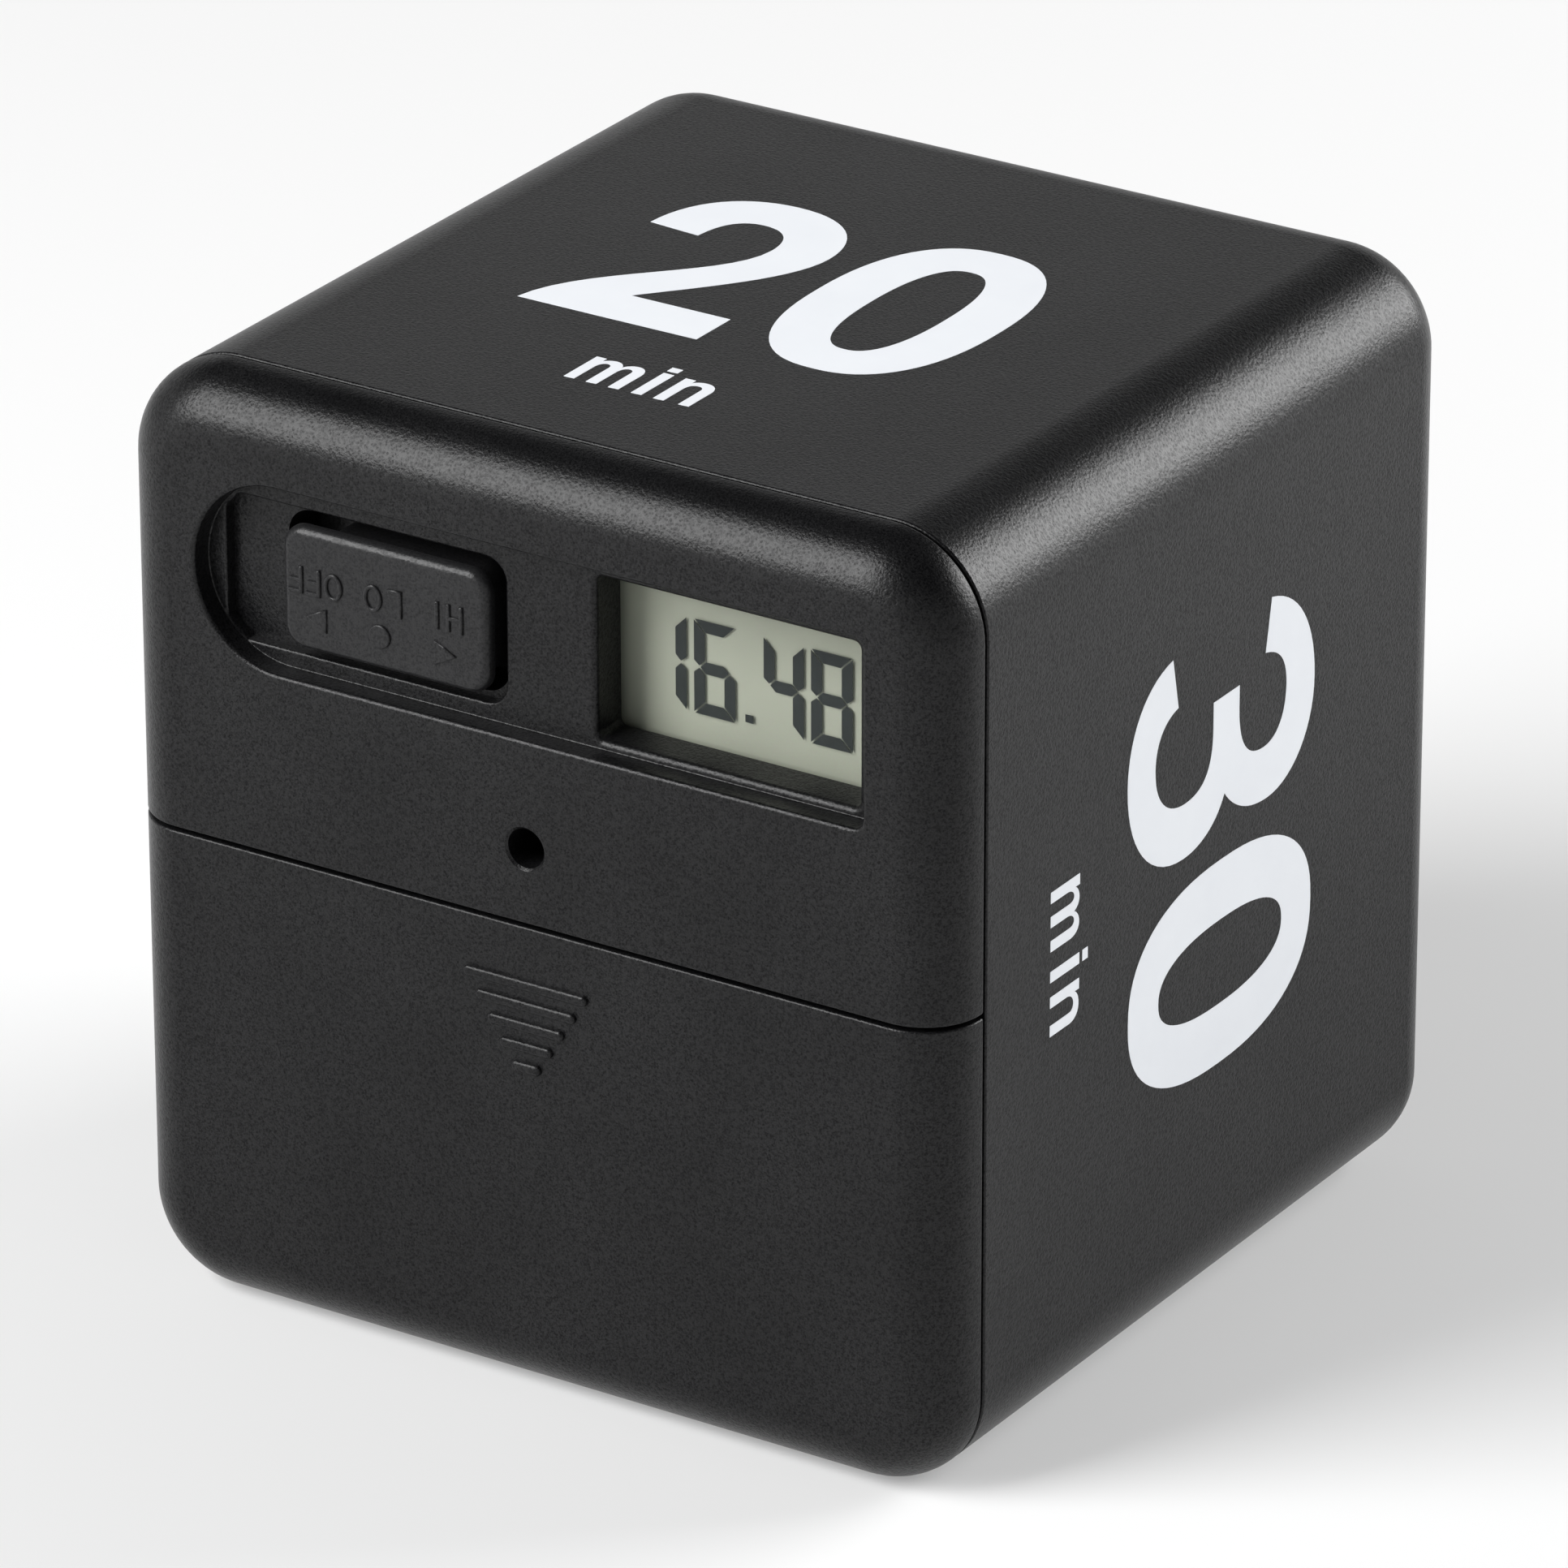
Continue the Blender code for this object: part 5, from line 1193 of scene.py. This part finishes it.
def white_ink(name):
    """Pad-printed ink: a slightly cool white, dense and satin, a little thinner in places."""
    material, tree, shader, spot = new_material(name, 0.42, specular=0.3)
    feed(tree, shader, {"Base Color": mix(tree, noise(tree, spot, 4.0), "e3e6eb", "eaedf1")})
    raise_grain(tree, shader, noise(tree, spot, 0.25, 2.0), 0.006, 0.4)
    return material


INK = white_ink("white_ink_pad_printed")


def print_number(name, figures, small, face_turn, distance):
    """Prints placed outlines on the face that face_turn degrees about the depth axis bring up."""
    outlines = [[(u + left, v + foot) for u, v in outline]
                for shape, left, foot in figures + small for outline in shape]
    ink = flat_shape(name, outlines, 2 * PRINT_RISE)
    ink.location = (0.0, FRONT_Y * MM, (distance - PRINT_RISE) * MM)
    bpy.ops.object.transform_apply()
    ink.rotation_euler.y = math.radians(face_turn)
    ink.location.z = BODY_HEIGHT / 2 * MM
    bpy.ops.object.transform_apply()
    dress(ink, INK, "housing", "black_abs")


top_word = word_min(3.65, 12.2, (-5.0, -0.15, 1.45), 2.55)
side_word = word_min(3.35, 11.75, (-5.85, -0.6, 1.1), 2.65)
print_number("printed_20", [(figure_2(), -14.5, 21.35), (figure_0(13.15, 21.8), 0.45, 21.3)],
             top_word, 0.0, BODY_HEIGHT / 2)
print_number("printed_30", [(figure_3(), -15.8, 20.55), (figure_0(13.9, 22.0), -0.2, 20.9)],
             side_word, 90.0, BODY_WIDTH / 2)
print_number("printed_60", [(figure_6(), -14.5, 21.3), (figure_0(13.3, 21.8), 0.65, 21.3)],
             top_word, 180.0, BODY_HEIGHT / 2)
print_number("printed_10", [(figure_1(), -12.4, 21.3), (figure_0(13.3, 21.8), -0.5, 21.3)],
             side_word, 270.0, BODY_WIDTH / 2)

# Floor, background and lamps
# A white table top inside a white screen that ends under a dark ceiling, and two soft boxes: the
# larger one above the front left corner, the other behind the right-hand side.

FLOOR_WIDTH = 6000.0
FLOOR_LEVEL = -0.02
LAMP_DISTANCE = 800.0
LAMP_AIM = 32.0
SCREEN_LEVEL = 0.62
CEILING_LEVEL = 0.02
SCREEN_TOP = (0.34, 0.58)
FLOOR_LIFT = 0.24


def soft_box(name, direction, width, height, level):
    """Rectangular lamp that gives a surface facing it this share of full light."""
    data = bpy.data.lights.new(name, "AREA")
    data.shape = "RECTANGLE"
    data.size = width * MM
    data.size_y = height * MM
    data.energy = level * math.pi ** 2 * (LAMP_DISTANCE * MM) ** 2
    box = add_object(name, data)
    towards = Vector(direction).normalized()
    box.location = (Vector((0.0, 0.0, LAMP_AIM)) + towards * LAMP_DISTANCE) * MM
    box.rotation_euler = (-towards).to_track_quat("-Z", "Y").to_euler()
    box.visible_camera = False


bpy.ops.mesh.primitive_plane_add(size=FLOOR_WIDTH * MM, location=(0.0, 0.0, FLOOR_LEVEL * MM))
floor = bpy.context.object
floor.name = "floor"
material, tree, shader, spot = new_material("table_white_matt", 0.9, specular=0.1)
shader.inputs["Base Color"].default_value = linear("d2d2d2")
path = add_node(tree, "ShaderNodeLightPath", {}).outputs
direct = maths(tree, "MAXIMUM", path["Is Camera Ray"], path["Is Glossy Ray"])
seen = maths(tree, "MAXIMUM", direct, path["Is Transmission Ray"])
shader.inputs["Emission Color"].default_value = linear("ffffff")
feed(tree, shader, {"Emission Strength": maths(tree, "MULTIPLY", seen, FLOOR_LIFT)})
floor.data.materials.append(material)

world = bpy.data.worlds.new("white_screen")
bpy.context.scene.world = world
world.use_nodes = True
tree = world.node_tree
spot = add_node(tree, "ShaderNodeTexCoord", {}).outputs["Generated"]
split = add_node(tree, "ShaderNodeSeparateXYZ", {"Vector": spot})
level = spread(tree, split.outputs["Z"], SCREEN_TOP, (SCREEN_LEVEL, CEILING_LEVEL), "SMOOTHSTEP")
background = tree.nodes["Background"]
background.inputs["Color"].default_value = linear("ffffff")
feed(tree, background, {"Strength": level})

soft_box("front_left_box", (-0.49, -0.70, 0.55), 440.0, 640.0, 1.5)
soft_box("back_right_box", (0.54, 0.765, 0.37), 480.0, 400.0, 1.0)

bpy.context.scene.view_settings.view_transform = "Standard"
